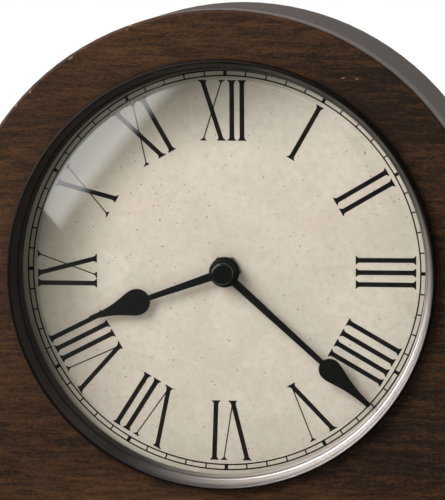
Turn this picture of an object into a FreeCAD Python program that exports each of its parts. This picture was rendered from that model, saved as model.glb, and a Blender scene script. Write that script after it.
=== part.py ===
import FreeCAD, Part
import math
import os

from FreeCAD import Vector

# Tambour mantel clock with a battery movement. Millimetres, +Z up, the dial faces -Y.
# The origin is the middle of the clock's footprint, at the bottom of its feet.
# Depths are measured from the front face of the case and grow towards the back.

# Sizes of the case
overall_height = 235.0
case_width = 400.0
case_depth = 62.0
arch_radius_share = 0.4366
shoulder_fall_deg = 6.0
shoulder_flat = 8.9
tip_radius = 22.0
tip_height_share = 0.234
dial_rise = 3.55
front_board_thickness = 12.7
front_edge_round = 1.2
wrap_thickness = 9.0
rebate_wall = 4.0
back_board_thickness = 6.0
back_recess = 2.0
board_clearance = 0.2

# Sizes of the plinth and the feet
plinth_height = 22.0
plinth_overhang = 17.0
plinth_rear_overhang = 12.0
plinth_lip_height = 8.0
plinth_lip_round = 1.5
plinth_lip_step = 1.5
cove_radius = 7.5
cove_top_step = 1.0
plinth_top_round = 2.5
foot_height = 4.0
foot_radius = 9.0
foot_edge = 0.8
foot_inset = 22.0

# Sizes of the blocks inside and the screws from below
block_size = 16.0
block_length = 30.0
front_block_offset = 120.0
case_screw_radius = 1.7
case_screw_head_radius = 3.6
case_screw_head_height = 2.2
case_screw_bite = 11.0
hole_clearance = 0.1

# Sizes of the bezel and the glass
bezel_margin = 22.6
funnel_width = 3.6
lip_depth = 4.46
crest_proud = 4.2
bezel_wall = 0.9
bead_radius = 0.7
groove_width = 0.75
groove_depth = 0.35
groove_position_share = 0.33
lip_thickness = 0.54
tube_inset = 1.4
tube_wall = 0.6
tube_end_depth = 10.0
bezel_hole_clearance = 0.3
glass_clearance = 0.4
glass_thickness = 1.8
glass_rim_width = 1.8
glass_dome_height = 8.5
retainer_width = 0.9
retainer_depth = 1.6
retainer_clearance = 0.1

# Sizes of the dial
dial_overlap = 7.0
dial_thickness = 1.0
dial_screw_inset = 4.2
dial_screw_count = 4
dial_screw_radius = 1.0
dial_screw_head_radius = 2.2
dial_screw_head_height = 1.2
dial_screw_bite = 7.0

# Sizes of the hands: heights above the dial, and gaps from the tips to the bezel's lip
minute_angle_deg = 132.0
hour_angle_deg = 250.5
blade_thickness = 0.6
hour_blade_height = 3.0
hour_boss_radius = 5.3
hour_boss_thickness = 1.0
hour_stem_width = 2.5
hour_neck_width = 1.9
hour_neck_share = 0.5545
hour_spade_share = 0.6545
hour_spade_width = 10.0
hour_tip_gap = 21.4
hour_tip_width = 1.7
minute_blade_height = 4.5
minute_boss_radius = 4.7
minute_boss_thickness = 2.2
minute_boss_drop = 0.2
minute_stem_width = 2.3
minute_neck_width = 1.9
minute_neck_share = 0.6712
minute_spade_share = 0.7318
minute_spade_width = 8.3
minute_tip_gap = 2.2
minute_tip_width = 1.9
cap_radius = 3.8
cap_thickness = 3.3
cap_edge = 0.5
cap_skin = 1.1
spade_shoulder_shares = (0.45, 0.86)
spade_waist_shares = (0.16, 0.36)
spade_waist_width_share = 0.1

# Sizes of the clamping parts on the threaded bush
bush_radius = 4.0
bush_reach = 2.8
washer_radius = 5.5
washer_thickness = 0.4
nut_across_flats = 10.6
nut_thickness = 2.1
rubber_washer_radius = 9.0
rubber_washer_thickness = 1.0

# Sizes of the movement
movement_width = 56.0
movement_thickness = 16.0
movement_corner_radius = 3.0
movement_split = 9.0
movement_wall = 1.4
minute_arbor_radius = 1.5
hour_pipe_radius = 2.5
seconds_arbor_radius = 0.5
running_clearance = 0.05
wheel_thickness = 1.0
wheel_gap = 0.4
pinion_length = 1.6
post_radius = 0.8
post_shoulder_radius = 1.2
seconds_boss_radius = 1.6
seconds_boss_length = 2.9
seconds_wheel_gap = 0.9
cannon_bore_depth = 3.4

# Teeth: the counts, the modules and the directions of the wheels from the dial axis
cannon_teeth = 12
minute_wheel_teeth = 36
minute_pinion_teeth = 10
hour_wheel_teeth = 40
motion_module = 0.375
centre_wheel_teeth = 60
third_pinion_teeth = 8
third_wheel_teeth = 64
seconds_pinion_teeth = 8
train_module = 0.27
seconds_wheel_teeth = 60
seconds_wheel_module = 0.25
minute_wheel_direction_deg = 40.0
third_wheel_direction_deg = 150.0
knob_direction_deg = 20.0
addendum_share = 0.8
dedendum_share = 1.15
root_width_share = 0.5
pitch_width_share = 0.4
tip_width_share = 0.2

# Sizes of the setting knob
knob_radius = 7.0
knob_thickness = 3.5
knob_flute_count = 18
knob_flute_radius = 0.7
knob_shaft_radius = 1.5
knob_pivot_radius = 1.0
knob_boss_wall = 1.0
knob_lift = 0.5

# Sizes of the battery, its bay and the parts beside it
battery_radius = 7.1
battery_length = 49.2
battery_nub_radius = 2.6
battery_nub_length = 1.0
bay_wall = 1.0
bay_clearance = 0.3
bay_end_wall = 0.7
contact_thickness = 0.4
contact_width = 9.0
contact_bump_radius = 2.4
board_shelf_height = 2.4
board_shelf_width = 8.6
board_shelf_margin = 1.8
board_shelf_side = 4.0
circuit_board_length = 18.0
circuit_board_thickness = 1.0
chip_size = 4.0
chip_height = 1.2
stator_length = 23.0
stator_thickness = 0.8
coil_radius = 3.0
coil_length = 14.0
coil_flange_radius = 3.7
coil_flange_thickness = 1.0

# Sizes of the back door and its hinges
opening_width = 112.0
opening_height = 104.0
opening_corner_radius = 5.0
door_gap = 0.8
hinge_length = 24.0
hinge_spacing = 50.0
hinge_leaf_width = 12.0
hinge_leaf_thickness = 0.8
knuckle_radius = 1.6
knuckle_lift = 0.1
knuckle_gap = 0.15
knuckle_side_gap = 0.3
hinge_pin_radius = 0.7
hinge_pin_head_radius = 1.2
hinge_pin_head_height = 0.5
hinge_screw_radius = 1.0
hinge_screw_head_radius = 1.8
hinge_screw_head_height = 0.8
hinge_screw_bite = 4.6
hinge_screw_inset = 4.2
hinge_screw_spacing = 13.0
door_knob_radius = 6.0
door_knob_height = 12.0
door_knob_neck_radius = 2.4
door_knob_collar_radius = 4.2
door_knob_collar_height = 1.6
door_knob_stem_radius = 1.6
door_knob_inset = 9.0
door_knob_flat_share = 0.25
magnet_width = 15.0
magnet_height = 22.0
magnet_thickness = 7.0
magnet_overlap = 5.0
strike_width = 6.0
strike_thickness = 0.8
strike_gap = 0.2
strike_edge_gap = 0.6

# Sizes of the screws that hold the back board
board_screw_radius = 1.4
board_screw_head_radius = 2.4
board_screw_head_height = 1.4
board_screw_bite = 8.0
board_screw_arch_degs = (22.0, 66.0)
board_screw_side_share = 0.55

# One overrun for every cut
overrun = 2.0

# Places worked out from the sizes
plinth_top = foot_height + plinth_height
arch_radius = arch_radius_share * overall_height
arch_z = overall_height - arch_radius
dial_z = arch_z + dial_rise
plinth_depth = plinth_overhang + case_depth + plinth_rear_overhang
plinth_width = case_width + 2 * plinth_overhang
front_y = plinth_overhang - plinth_depth / 2
along = Vector(0, 1, 0)
up = Vector(0, 0, 1)

dial_front = front_board_thickness
dial_back = dial_front + dial_thickness
movement_front = dial_back + rubber_washer_thickness
movement_back = movement_front + movement_thickness
movement_inside = movement_front + movement_wall
movement_back_inside = movement_back - movement_wall
movement_seam = movement_front + movement_split
board_outside = case_depth - back_recess
board_inside = board_outside - back_board_thickness
glass_front = lip_depth + lip_thickness
glass_back = glass_front + glass_thickness

crest_radius = arch_radius - bezel_margin
lip_radius = crest_radius - funnel_width
tube_outer_radius = crest_radius - tube_inset
tube_inner_radius = tube_outer_radius - tube_wall
bezel_hole_radius = tube_outer_radius + bezel_hole_clearance
glass_radius = tube_inner_radius - glass_clearance
dial_radius = crest_radius + dial_overlap
dial_screw_ring_radius = dial_radius - dial_screw_inset
hour_tip_reach = lip_radius - hour_tip_gap
minute_tip_reach = lip_radius - minute_tip_gap

motion_distance = motion_module * (cannon_teeth + minute_wheel_teeth) / 2
hour_module = 2 * motion_distance / (minute_pinion_teeth + hour_wheel_teeth)
train_distance = train_module * (centre_wheel_teeth + third_pinion_teeth) / 2
seconds_module = 2 * train_distance / (third_wheel_teeth + seconds_pinion_teeth)

hour_wheel_at = movement_inside + wheel_gap
minute_wheel_at = hour_wheel_at + pinion_length
centre_wheel_at = minute_wheel_at + wheel_thickness + wheel_gap + running_clearance
third_wheel_at = centre_wheel_at + wheel_thickness + 2 * wheel_gap
seconds_wheel_at = third_wheel_at + wheel_thickness + seconds_wheel_gap


def depth(value):
    """The y of a depth behind the front face of the case."""
    return front_y + value


def rod(radius, start, end, x=0.0, z=0.0):
    """A round bar along the dial axis, between two depths, x and z counted from that axis."""
    return Part.makeCylinder(radius, end - start, Vector(x, depth(start), dial_z + z), along)


def tube(outer, inner, start, end, x=0.0, z=0.0):
    """A round bar with a bore right through it."""
    bore = rod(inner, start - overrun, end + overrun, x, z)
    return rod(outer, start, end, x, z).cut(bore)


def block(x0, x1, start, end, z0, z1):
    """A box between two depths, with its heights counted from the ground."""
    return Part.makeBox(x1 - x0, end - start, z1 - z0, Vector(x0, depth(start), z0))


def rounded_block(width, height, radius, start, end, z_middle):
    """A box with four corners rounded about the dial direction, centred on x = 0."""
    solid = block(-width / 2, width / 2, start, end, z_middle - height / 2, z_middle + height / 2)
    edges = [e for e in solid.Edges if e.BoundBox.YLength > (end - start) / 2]
    return solid.makeFillet(radius, edges)


def turned(points, arcs=()):
    """A solid turned about the dial axis, from (radius, depth) points joined by lines.

    arcs maps the number of a side to the point half way along it, which makes that side an arc.
    """
    corners = [Vector(r, depth(d), dial_z) for r, d in points]
    edges = []
    for n, start in enumerate(corners):
        end = corners[(n + 1) % len(corners)]
        if n in dict(arcs):
            r, d = dict(arcs)[n]
            edges.append(Part.Arc(start, Vector(r, depth(d), dial_z), end).toShape())
        else:
            edges.append(Part.makeLine(start, end))
    face = Part.Face(Part.Wire(edges))
    return face.revolve(Vector(0, 0, dial_z), along, 360)


def polar(radius, degrees):
    """x and z of a place at a distance from the dial axis, counted from +X towards +Z."""
    return radius * math.cos(math.radians(degrees)), radius * math.sin(math.radians(degrees))


def joined(shapes):
    """Several separate solids as one shape."""
    return Part.makeCompound(shapes)


def fused(first, *others):
    """Solids that are one piece."""
    for other in others:
        first = first.fuse(other)
    return first.removeSplitter()


def place(x, z, radius, angle):
    """A point at an angle from upright, clockwise as seen from the front, round a middle."""
    return x + radius * math.sin(angle), z + radius * math.cos(angle)


def tip_middle():
    """Middle of the rounded end of the right shoulder."""
    return case_width / 2 - tip_radius, plinth_top + tip_height_share * (arch_z - plinth_top)


def flare():
    """The hollow curve that touches both the arch and the shoulder: its middle and its radius."""
    fall = math.radians(shoulder_fall_deg)
    tip_x, tip_z = tip_middle()
    end_x, end_z = place(tip_x, tip_z, tip_radius, fall)
    x = end_x - shoulder_flat * math.cos(fall)
    z = end_z + shoulder_flat * math.sin(fall)
    rise = z - arch_z
    towards = x * math.sin(fall) + rise * math.cos(fall)
    radius = (x**2 + rise**2 - arch_radius**2) / (2 * (arch_radius - towards))
    middle_x, middle_z = place(x, z, radius, fall)
    return middle_x, middle_z, radius


def case_face(inset, floor):
    """The tambour's outline in the plane y = 0, drawn in by an inset, standing on a floor height."""
    fall = math.radians(shoulder_fall_deg)
    arch = arch_radius - inset
    tip = tip_radius - inset
    half = case_width / 2 - inset
    tip_x, tip_z = tip_middle()
    flare_x, flare_z, flare_radius = flare()
    start = math.atan2(flare_x, flare_z - arch_z)
    hollow = -flare_radius - inset
    right = [
        place(0, arch_z, arch, start),
        place(flare_x, flare_z, hollow, (start + fall) / 2),
        place(flare_x, flare_z, hollow, fall),
        place(tip_x, tip_z, tip, fall),
        place(tip_x, tip_z, tip, (fall + math.pi / 2) / 2),
        (half, tip_z),
        (half, floor),
    ]
    right = [Vector(x, 0, z) for x, z in right]
    left = [Vector(-p.x, 0, p.z) for p in right]
    edges = [
        Part.Arc(left[0], Vector(0, 0, arch_z + arch), right[0]).toShape(),
        Part.Arc(right[0], right[1], right[2]).toShape(),
        Part.makeLine(right[2], right[3]),
        Part.Arc(right[3], right[4], right[5]).toShape(),
        Part.makeLine(right[5], right[6]),
        Part.makeLine(right[6], left[6]),
        Part.makeLine(left[6], left[5]),
        Part.Arc(left[5], left[4], left[3]).toShape(),
        Part.makeLine(left[3], left[2]),
        Part.Arc(left[2], left[1], left[0]).toShape(),
    ]
    return Part.Face(Part.Wire(edges))


def case_slab(inset, floor, start, end):
    """The case outline as a slab between two depths."""
    face = case_face(inset, floor)
    face.translate(Vector(0, depth(start), 0))
    return face.extrude(Vector(0, end - start, 0))


def make_front_board():
    solid = case_slab(0, plinth_top, 0, front_board_thickness)
    outline = [
        e
        for e in solid.Edges
        if e.BoundBox.YMax < depth(front_edge_round) and e.BoundBox.ZMax > plinth_top + overrun
    ]
    solid = solid.makeFillet(front_edge_round, outline)
    solid = solid.cut(rod(bezel_hole_radius, -overrun, front_board_thickness + overrun))
    for x, z in dial_screw_places():
        pilot = dial_screw_radius + hole_clearance
        solid = solid.cut(rod(pilot, dial_front - dial_screw_bite, dial_front + overrun, x, z))
    return solid


def make_case_wrap():
    outside = case_slab(0, plinth_top, front_board_thickness, case_depth)
    inside = case_slab(
        wrap_thickness, plinth_top - overrun, front_board_thickness - overrun, case_depth + overrun
    )
    rebate = case_slab(rebate_wall, plinth_top - overrun, board_inside, case_depth + overrun)
    solid = outside.cut(inside).cut(rebate)
    for x, z in board_screw_places():
        pilot = board_screw_radius + hole_clearance
        end = board_inside + overrun
        solid = solid.cut(rod(pilot, board_inside - board_screw_bite, end, x, z))
    return solid


def board_screw_places():
    """Screws on the middle of the rebate's ledge, counted from the dial axis."""
    inset = (rebate_wall + wrap_thickness) / 2
    radius = arch_radius - inset
    places = []
    for degrees in board_screw_arch_degs:
        angle = math.radians(degrees)
        for side in (-1, 1):
            places.append((side * radius * math.sin(angle), radius * math.cos(angle) - dial_rise))
    side_z = plinth_top + board_screw_side_share * tip_radius - dial_z
    for side in (-1, 1):
        places.append((side * (case_width / 2 - inset), side_z))
    return places


def make_back_board():
    solid = case_slab(rebate_wall + board_clearance, plinth_top, board_inside, board_outside)
    hole = rounded_block(
        opening_width,
        opening_height,
        opening_corner_radius,
        board_inside - overrun,
        board_outside + overrun,
        dial_z,
    )
    solid = solid.cut(hole)
    for x, z in board_screw_places():
        through = board_screw_radius + hole_clearance
        solid = solid.cut(rod(through, board_inside - overrun, board_outside + overrun, x, z))
    for x, z in hinge_screw_places(1):
        pilot = hinge_screw_radius + hole_clearance
        start = board_outside - hinge_screw_bite
        solid = solid.cut(rod(pilot, start, board_outside + overrun, x, z))
    return solid


def make_board_screws():
    screws = []
    for x, z in board_screw_places():
        start = board_inside - board_screw_bite + hole_clearance
        head_end = board_outside + board_screw_head_height
        shank = rod(board_screw_radius, start, board_outside, x, z)
        head = rod(board_screw_head_radius, board_outside, head_end, x, z)
        screws.append(fused(shank, head))
    return joined(screws)


def moulding(reach):
    """The routed edge as corner points and arc middles: (distance from the middle, height)."""
    lip_top = foot_height + plinth_lip_height
    cove_x = reach - plinth_lip_step
    cove_z = lip_top + cove_radius
    top_x = cove_x - cove_radius - cove_top_step
    diagonal = math.sqrt(2) / 2
    corners = [
        (reach, foot_height),
        (reach, lip_top - plinth_lip_round),
        (reach - plinth_lip_round, lip_top),
        (cove_x - plinth_lip_round, lip_top),
        (cove_x - plinth_lip_round - cove_radius, cove_z),
        (top_x - plinth_lip_round, cove_z),
        (top_x - plinth_lip_round, plinth_top - plinth_top_round),
        (top_x - plinth_lip_round - plinth_top_round, plinth_top),
    ]
    lip_round_mid = (
        reach - plinth_lip_round * (1 - diagonal),
        lip_top - plinth_lip_round * (1 - diagonal),
    )
    cove_mid = (
        cove_x - plinth_lip_round - cove_radius * diagonal,
        cove_z - cove_radius * diagonal,
    )
    top_mid = (
        top_x - plinth_lip_round - plinth_top_round * (1 - diagonal),
        plinth_top - plinth_top_round * (1 - diagonal),
    )
    return corners, {1: lip_round_mid, 3: cove_mid, 6: top_mid}


def profile_edges(corners, arcs, point):
    """Edges through profile corners, with point() turning (reach, height) into a place."""
    edges = []
    for n in range(len(corners) - 1):
        start = point(*corners[n])
        end = point(*corners[n + 1])
        if n in arcs:
            edges.append(Part.Arc(start, point(*arcs[n]), end).toShape())
        else:
            edges.append(Part.makeLine(start, end))
    return edges


def make_plinth():
    """The plinth is where a bar with the moulding at both ends meets one with it in front."""
    half = plinth_width / 2
    corners, arcs = moulding(half)
    right = profile_edges(corners, arcs, lambda r, z: Vector(r, -half, z))
    left = profile_edges(corners, arcs, lambda r, z: Vector(-r, -half, z))
    top = Part.makeLine(right[-1].Vertexes[1].Point, left[-1].Vertexes[1].Point)
    bottom = Part.makeLine(Vector(-half, -half, foot_height), Vector(half, -half, foot_height))
    side_face = Part.Face(Part.Wire(Part.__sortEdges__(right + left + [top, bottom])))
    long_bar = side_face.extrude(Vector(0, plinth_width, 0))
    back = plinth_depth / 2
    corners, arcs = moulding(back)
    front = profile_edges(corners, arcs, lambda r, z: Vector(-half, -r, z))
    top = Part.makeLine(front[-1].Vertexes[1].Point, Vector(-half, back, plinth_top))
    rear = Part.makeLine(Vector(-half, back, plinth_top), Vector(-half, back, foot_height))
    bottom = Part.makeLine(Vector(-half, back, foot_height), Vector(-half, -back, foot_height))
    front_face = Part.Face(Part.Wire(Part.__sortEdges__(front + [top, rear, bottom])))
    solid = long_bar.common(front_face.extrude(Vector(plinth_width, 0, 0)))
    for x, y in block_places():
        shank_radius = case_screw_radius + hole_clearance
        head_radius = case_screw_head_radius + hole_clearance
        bottom_point = Vector(x, y, foot_height)
        shank = Part.makeCylinder(shank_radius, plinth_height + overrun, bottom_point, up)
        sink = Part.makeCone(head_radius, shank_radius, case_screw_head_height, bottom_point, up)
        solid = solid.cut(shank).cut(sink)
    return solid


def corner_block_places():
    """Middles of the four square blocks in the corners of the case."""
    x = case_width / 2 - wrap_thickness - block_size / 2
    front = depth(front_board_thickness) + block_size / 2
    rear = depth(board_inside) - block_size / 2
    return [(side * x, y) for side in (-1, 1) for y in (front, rear)]


def front_block_places():
    """Middles of the two long blocks behind the front board."""
    y = depth(front_board_thickness) + block_size / 2
    return [(side * front_block_offset, y) for side in (-1, 1)]


def block_places():
    return corner_block_places() + front_block_places()


def glue_block(x, y, length):
    """A block on the plinth, with the pilot hole of the screw from below."""
    low = Vector(x - length / 2, y - block_size / 2, plinth_top)
    pilot_radius = case_screw_radius + hole_clearance
    pilot = Part.makeCylinder(pilot_radius, case_screw_bite, Vector(x, y, plinth_top), up)
    return Part.makeBox(length, block_size, block_size, low).cut(pilot)


def make_glue_blocks():
    square = [glue_block(x, y, block_size) for x, y in corner_block_places()]
    long = [glue_block(x, y, block_length) for x, y in front_block_places()]
    return joined(square + long)


def make_case_screws():
    screws = []
    length = plinth_height + case_screw_bite - hole_clearance
    for x, y in block_places():
        base = Vector(x, y, foot_height)
        shank = Part.makeCylinder(case_screw_radius, length, base, up)
        head = Part.makeCone(
            case_screw_head_radius, case_screw_radius, case_screw_head_height, base, up
        )
        screws.append(fused(shank, head))
    return joined(screws)


def make_feet():
    feet = []
    for side in (-1, 1):
        for end in (-1, 1):
            x = side * (plinth_width / 2 - foot_inset)
            y = end * (plinth_depth / 2 - foot_inset)
            foot = Part.makeCylinder(foot_radius, foot_height, Vector(x, y, 0), up)
            rim = [e for e in foot.Edges if e.BoundBox.ZMax < foot_height / 2]
            feet.append(foot.makeChamfer(foot_edge, rim))
    return joined(feet)


def make_bezel():
    """A spun ring: a bead at the crest, a sloping funnel with a groove, a lip and a tube."""
    slope = (crest_radius - bead_radius - lip_radius) / (lip_depth + crest_proud - bead_radius)
    groove_d = lip_depth - groove_position_share * (lip_depth + crest_proud)
    groove_end = groove_d - groove_width

    def funnel(d):
        return lip_radius + slope * (lip_depth - d)

    bead_d = bead_radius - crest_proud
    points = [
        (lip_radius, lip_depth),
        (funnel(groove_d), groove_d),
        (funnel(groove_d) + groove_depth, groove_d),
        (funnel(groove_end) + groove_depth, groove_end),
        (funnel(groove_end), groove_end),
        (crest_radius - bead_radius, bead_d),
        (crest_radius + bead_radius, bead_d),
        (crest_radius + bezel_wall, bead_d + bead_radius),
        (crest_radius + bezel_wall, 0),
        (tube_outer_radius, 0),
        (tube_outer_radius, tube_end_depth),
        (tube_inner_radius, tube_end_depth),
        (tube_inner_radius, glass_front),
        (lip_radius, glass_front),
    ]
    return turned(points, {5: (crest_radius, -crest_proud)})


def make_glass():
    """A domed glass with a flat rim, the same thickness all over."""
    land = glass_radius - glass_rim_width
    apex = glass_front - glass_dome_height
    sphere = (land**2 + glass_dome_height**2) / (2 * glass_dome_height)
    half_way = land / 2
    rise = sphere - math.sqrt(sphere**2 - half_way**2)
    points = [
        (0, apex),
        (land, glass_front),
        (glass_radius, glass_front),
        (glass_radius, glass_back),
        (land, glass_back),
        (0, apex + glass_thickness),
    ]
    arcs = {0: (half_way, apex + rise), 4: (half_way, apex + rise + glass_thickness)}
    return turned(points, arcs)


def make_glass_retainer():
    outer = tube_inner_radius - retainer_clearance
    return tube(outer, outer - retainer_width, glass_back, glass_back + retainer_depth)


def dial_screw_places():
    step = 360 / dial_screw_count
    return [polar(dial_screw_ring_radius, step * (n + 0.5)) for n in range(dial_screw_count)]


def make_dial_plate():
    solid = tube(dial_radius, bush_radius + hole_clearance, dial_front, dial_back)
    for x, z in dial_screw_places():
        through = dial_screw_radius + hole_clearance
        solid = solid.cut(rod(through, dial_front - overrun, dial_back + overrun, x, z))
    return solid


def make_dial_screws():
    screws = []
    for x, z in dial_screw_places():
        start = dial_front - dial_screw_bite + hole_clearance
        shank = rod(dial_screw_radius, start, dial_back, x, z)
        head_end = dial_back + dial_screw_head_height
        head = rod(dial_screw_head_radius, dial_back, head_end, x, z)
        screws.append(fused(shank, head))
    return joined(screws)


def spade_face(stem_width, neck_width, neck, spade_width, spade, tip, tip_width):
    """A spade hand's blade pointing up, as a flat face at y = 0 with its axis at the origin."""
    round_reach, round_width = spade_shoulder_shares
    near_waist, far_waist = spade_waist_shares
    widest = spade_width / 2
    shoulder = Vector(widest * round_width, 0, neck + (spade - neck) * round_reach)
    taper = tip - spade
    waist = widest * spade_waist_width_share + tip_width / 2
    right = [
        Part.makeLine(Vector(stem_width / 2, 0, 0), Vector(neck_width / 2, 0, neck)),
        Part.Arc(Vector(neck_width / 2, 0, neck), shoulder, Vector(widest, 0, spade)).toShape(),
    ]
    curve = Part.BezierCurve()
    curve.setPoles(
        [
            Vector(widest, 0, spade),
            Vector(widest, 0, spade + taper * near_waist),
            Vector(waist, 0, spade + taper * far_waist),
            Vector(tip_width / 2, 0, tip - tip_width / 2),
        ]
    )
    right.append(curve.toShape())
    mirror = FreeCAD.Matrix()
    mirror.A11 = -1
    left = [edge.transformGeometry(mirror) for edge in right]
    end = Part.Arc(
        Vector(tip_width / 2, 0, tip - tip_width / 2),
        Vector(0, 0, tip),
        Vector(-tip_width / 2, 0, tip - tip_width / 2),
    ).toShape()
    foot = Part.makeLine(Vector(-stem_width / 2, 0, 0), Vector(stem_width / 2, 0, 0))
    return Part.Face(Part.Wire(Part.__sortEdges__(right + [end] + left + [foot])))


def make_hand(face, angle_deg, blade_height, boss_radius, boss_start, boss_end, bore_radius):
    """A blade turned clockwise from twelve, with a boss round the axis."""
    blade = face.extrude(Vector(0, blade_thickness, 0))
    blade.rotate(Vector(0, 0, 0), along, angle_deg)
    start = dial_front - blade_height - blade_thickness
    blade.translate(Vector(0, depth(start), dial_z))
    solid = fused(rod(boss_radius, boss_start, boss_end), blade)
    return solid.cut(rod(bore_radius, boss_start - overrun, boss_end + overrun))


def make_hour_hand():
    face = spade_face(
        hour_stem_width,
        hour_neck_width,
        hour_neck_share * hour_tip_reach,
        hour_spade_width,
        hour_spade_share * hour_tip_reach,
        hour_tip_reach,
        hour_tip_width,
    )
    end = dial_front - hour_blade_height
    bore = hour_pipe_radius + running_clearance
    start = end - hour_boss_thickness
    return make_hand(
        face, hour_angle_deg, hour_blade_height, hour_boss_radius, start, end, bore
    )


def minute_boss_end():
    return dial_front - minute_blade_height + minute_boss_drop


def make_minute_hand():
    face = spade_face(
        minute_stem_width,
        minute_neck_width,
        minute_neck_share * minute_tip_reach,
        minute_spade_width,
        minute_spade_share * minute_tip_reach,
        minute_tip_reach,
        minute_tip_width,
    )
    end = minute_boss_end()
    bore = minute_arbor_radius + running_clearance
    start = end - minute_boss_thickness
    return make_hand(
        face, minute_angle_deg, minute_blade_height, minute_boss_radius, start, end, bore
    )


def make_hand_cap():
    """A round cap screwed on the end of the centre wheel's arbor."""
    end = minute_boss_end() - minute_boss_thickness
    cap = rod(cap_radius, end - cap_thickness, end)
    rim = [e for e in cap.Edges if e.BoundBox.YMax < depth(end - cap_thickness / 2)]
    cap = cap.makeFillet(cap_edge, rim)
    bore = minute_arbor_radius + running_clearance
    return cap.cut(rod(bore, end - cap_thickness + cap_skin, end + overrun))


def make_threaded_bush():
    """The collar of the movement that passes through the dial."""
    bore = hour_pipe_radius + running_clearance
    return tube(bush_radius, bore, dial_front - bush_reach, movement_front)


def make_flat_washer():
    inner = bush_radius + hole_clearance
    return tube(washer_radius, inner, dial_front - washer_thickness, dial_front)


def make_hex_nut():
    end = dial_front - washer_thickness
    radius = nut_across_flats / math.sqrt(3)
    corners = [polar(radius, 60 * n) for n in range(7)]
    wire = Part.makePolygon([Vector(x, depth(end - nut_thickness), dial_z + z) for x, z in corners])
    solid = Part.Face(wire).extrude(Vector(0, nut_thickness, 0))
    bore = bush_radius + hole_clearance
    return solid.cut(rod(bore, end - nut_thickness - overrun, end + overrun))


def make_rubber_washer():
    inner = bush_radius + hole_clearance
    return tube(rubber_washer_radius, inner, dial_back, movement_front)


def gear(teeth, module, phase_deg, start, end, x=0.0, z=0.0):
    """A spur gear with a tooth centred on a direction, its flanks drawn by root, pitch and tip."""
    pitch = 2 * math.pi / teeth
    radius = module * teeth / 2
    root = radius - module * dedendum_share
    tip = radius + module * addendum_share
    flank = [
        (root, -root_width_share / 2),
        (radius, -pitch_width_share / 2),
        (tip, -tip_width_share / 2),
        (tip, tip_width_share / 2),
        (radius, pitch_width_share / 2),
        (root, root_width_share / 2),
    ]
    points = []
    for n in range(teeth):
        middle = math.radians(phase_deg) + n * pitch
        for reach, share in flank:
            angle = middle + share * pitch
            px = x + reach * math.cos(angle)
            pz = z + reach * math.sin(angle)
            points.append(Vector(px, depth(start), dial_z + pz))
    wire = Part.makePolygon(points + points[:1])
    return Part.Face(wire).extrude(Vector(0, end - start, 0))


def mating_phase(direction_deg, phase_deg, teeth, mate_teeth):
    """The phase that puts a mate's gap on a gear's tooth, the mate lying in a direction."""
    offset = (phase_deg - direction_deg) % (360 / teeth)
    return direction_deg + 180 - offset * teeth / mate_teeth + 180 / mate_teeth


def make_centre_wheel():
    """Arbor of the minute hand, with the wheel that is driven and the pinion that drives."""
    front = minute_boss_end() - minute_boss_thickness - cap_thickness + cap_skin
    front = front + running_clearance
    rear = centre_wheel_at + wheel_thickness
    arbor = rod(minute_arbor_radius, front, rear)
    wheel = gear(
        centre_wheel_teeth, train_module, third_wheel_direction_deg, centre_wheel_at, rear
    )
    pinion = gear(
        cannon_teeth,
        motion_module,
        minute_wheel_direction_deg,
        minute_wheel_at - wheel_gap / 2,
        centre_wheel_at,
    )
    solid = fused(arbor, wheel, pinion)
    bore = seconds_arbor_radius + running_clearance
    return solid.cut(rod(bore, rear - cannon_bore_depth, rear + overrun))


def make_hour_wheel():
    pipe_front = dial_front - hour_blade_height - hour_boss_thickness + running_clearance
    wheel_end = hour_wheel_at + wheel_thickness
    wheel = gear(
        hour_wheel_teeth, hour_module, minute_wheel_direction_deg, hour_wheel_at, wheel_end
    )
    solid = fused(rod(hour_pipe_radius, pipe_front, wheel_end), wheel)
    bore = minute_arbor_radius + running_clearance
    return solid.cut(rod(bore, pipe_front - overrun, wheel_end + overrun))


def minute_wheel_place():
    return polar(motion_distance, minute_wheel_direction_deg)


def minute_wheel_phase():
    direction = minute_wheel_direction_deg
    return mating_phase(direction, direction, cannon_teeth, minute_wheel_teeth)


def make_minute_wheel():
    x, z = minute_wheel_place()
    direction = minute_wheel_direction_deg
    pinion_phase = mating_phase(direction, direction, hour_wheel_teeth, minute_pinion_teeth)
    end = minute_wheel_at + wheel_thickness
    wheel = gear(
        minute_wheel_teeth, motion_module, minute_wheel_phase(), minute_wheel_at, end, x, z
    )
    pinion = gear(
        minute_pinion_teeth, hour_module, pinion_phase, hour_wheel_at, minute_wheel_at, x, z
    )
    bore = rod(post_radius + running_clearance, hour_wheel_at - overrun, end + overrun, x, z)
    return fused(wheel, pinion).cut(bore)


def third_wheel_place():
    return polar(train_distance, third_wheel_direction_deg)


def make_third_wheel():
    x, z = third_wheel_place()
    direction = third_wheel_direction_deg
    pinion_phase = mating_phase(direction, direction, centre_wheel_teeth, third_pinion_teeth)
    end = third_wheel_at + wheel_thickness
    wheel = gear(third_wheel_teeth, seconds_module, direction + 180, third_wheel_at, end, x, z)
    pinion = gear(
        third_pinion_teeth,
        train_module,
        pinion_phase,
        centre_wheel_at - wheel_gap / 2,
        third_wheel_at,
        x,
        z,
    )
    bore = rod(post_radius / 2 + running_clearance, centre_wheel_at - overrun, end + overrun, x, z)
    return fused(wheel, pinion).cut(bore)


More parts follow.
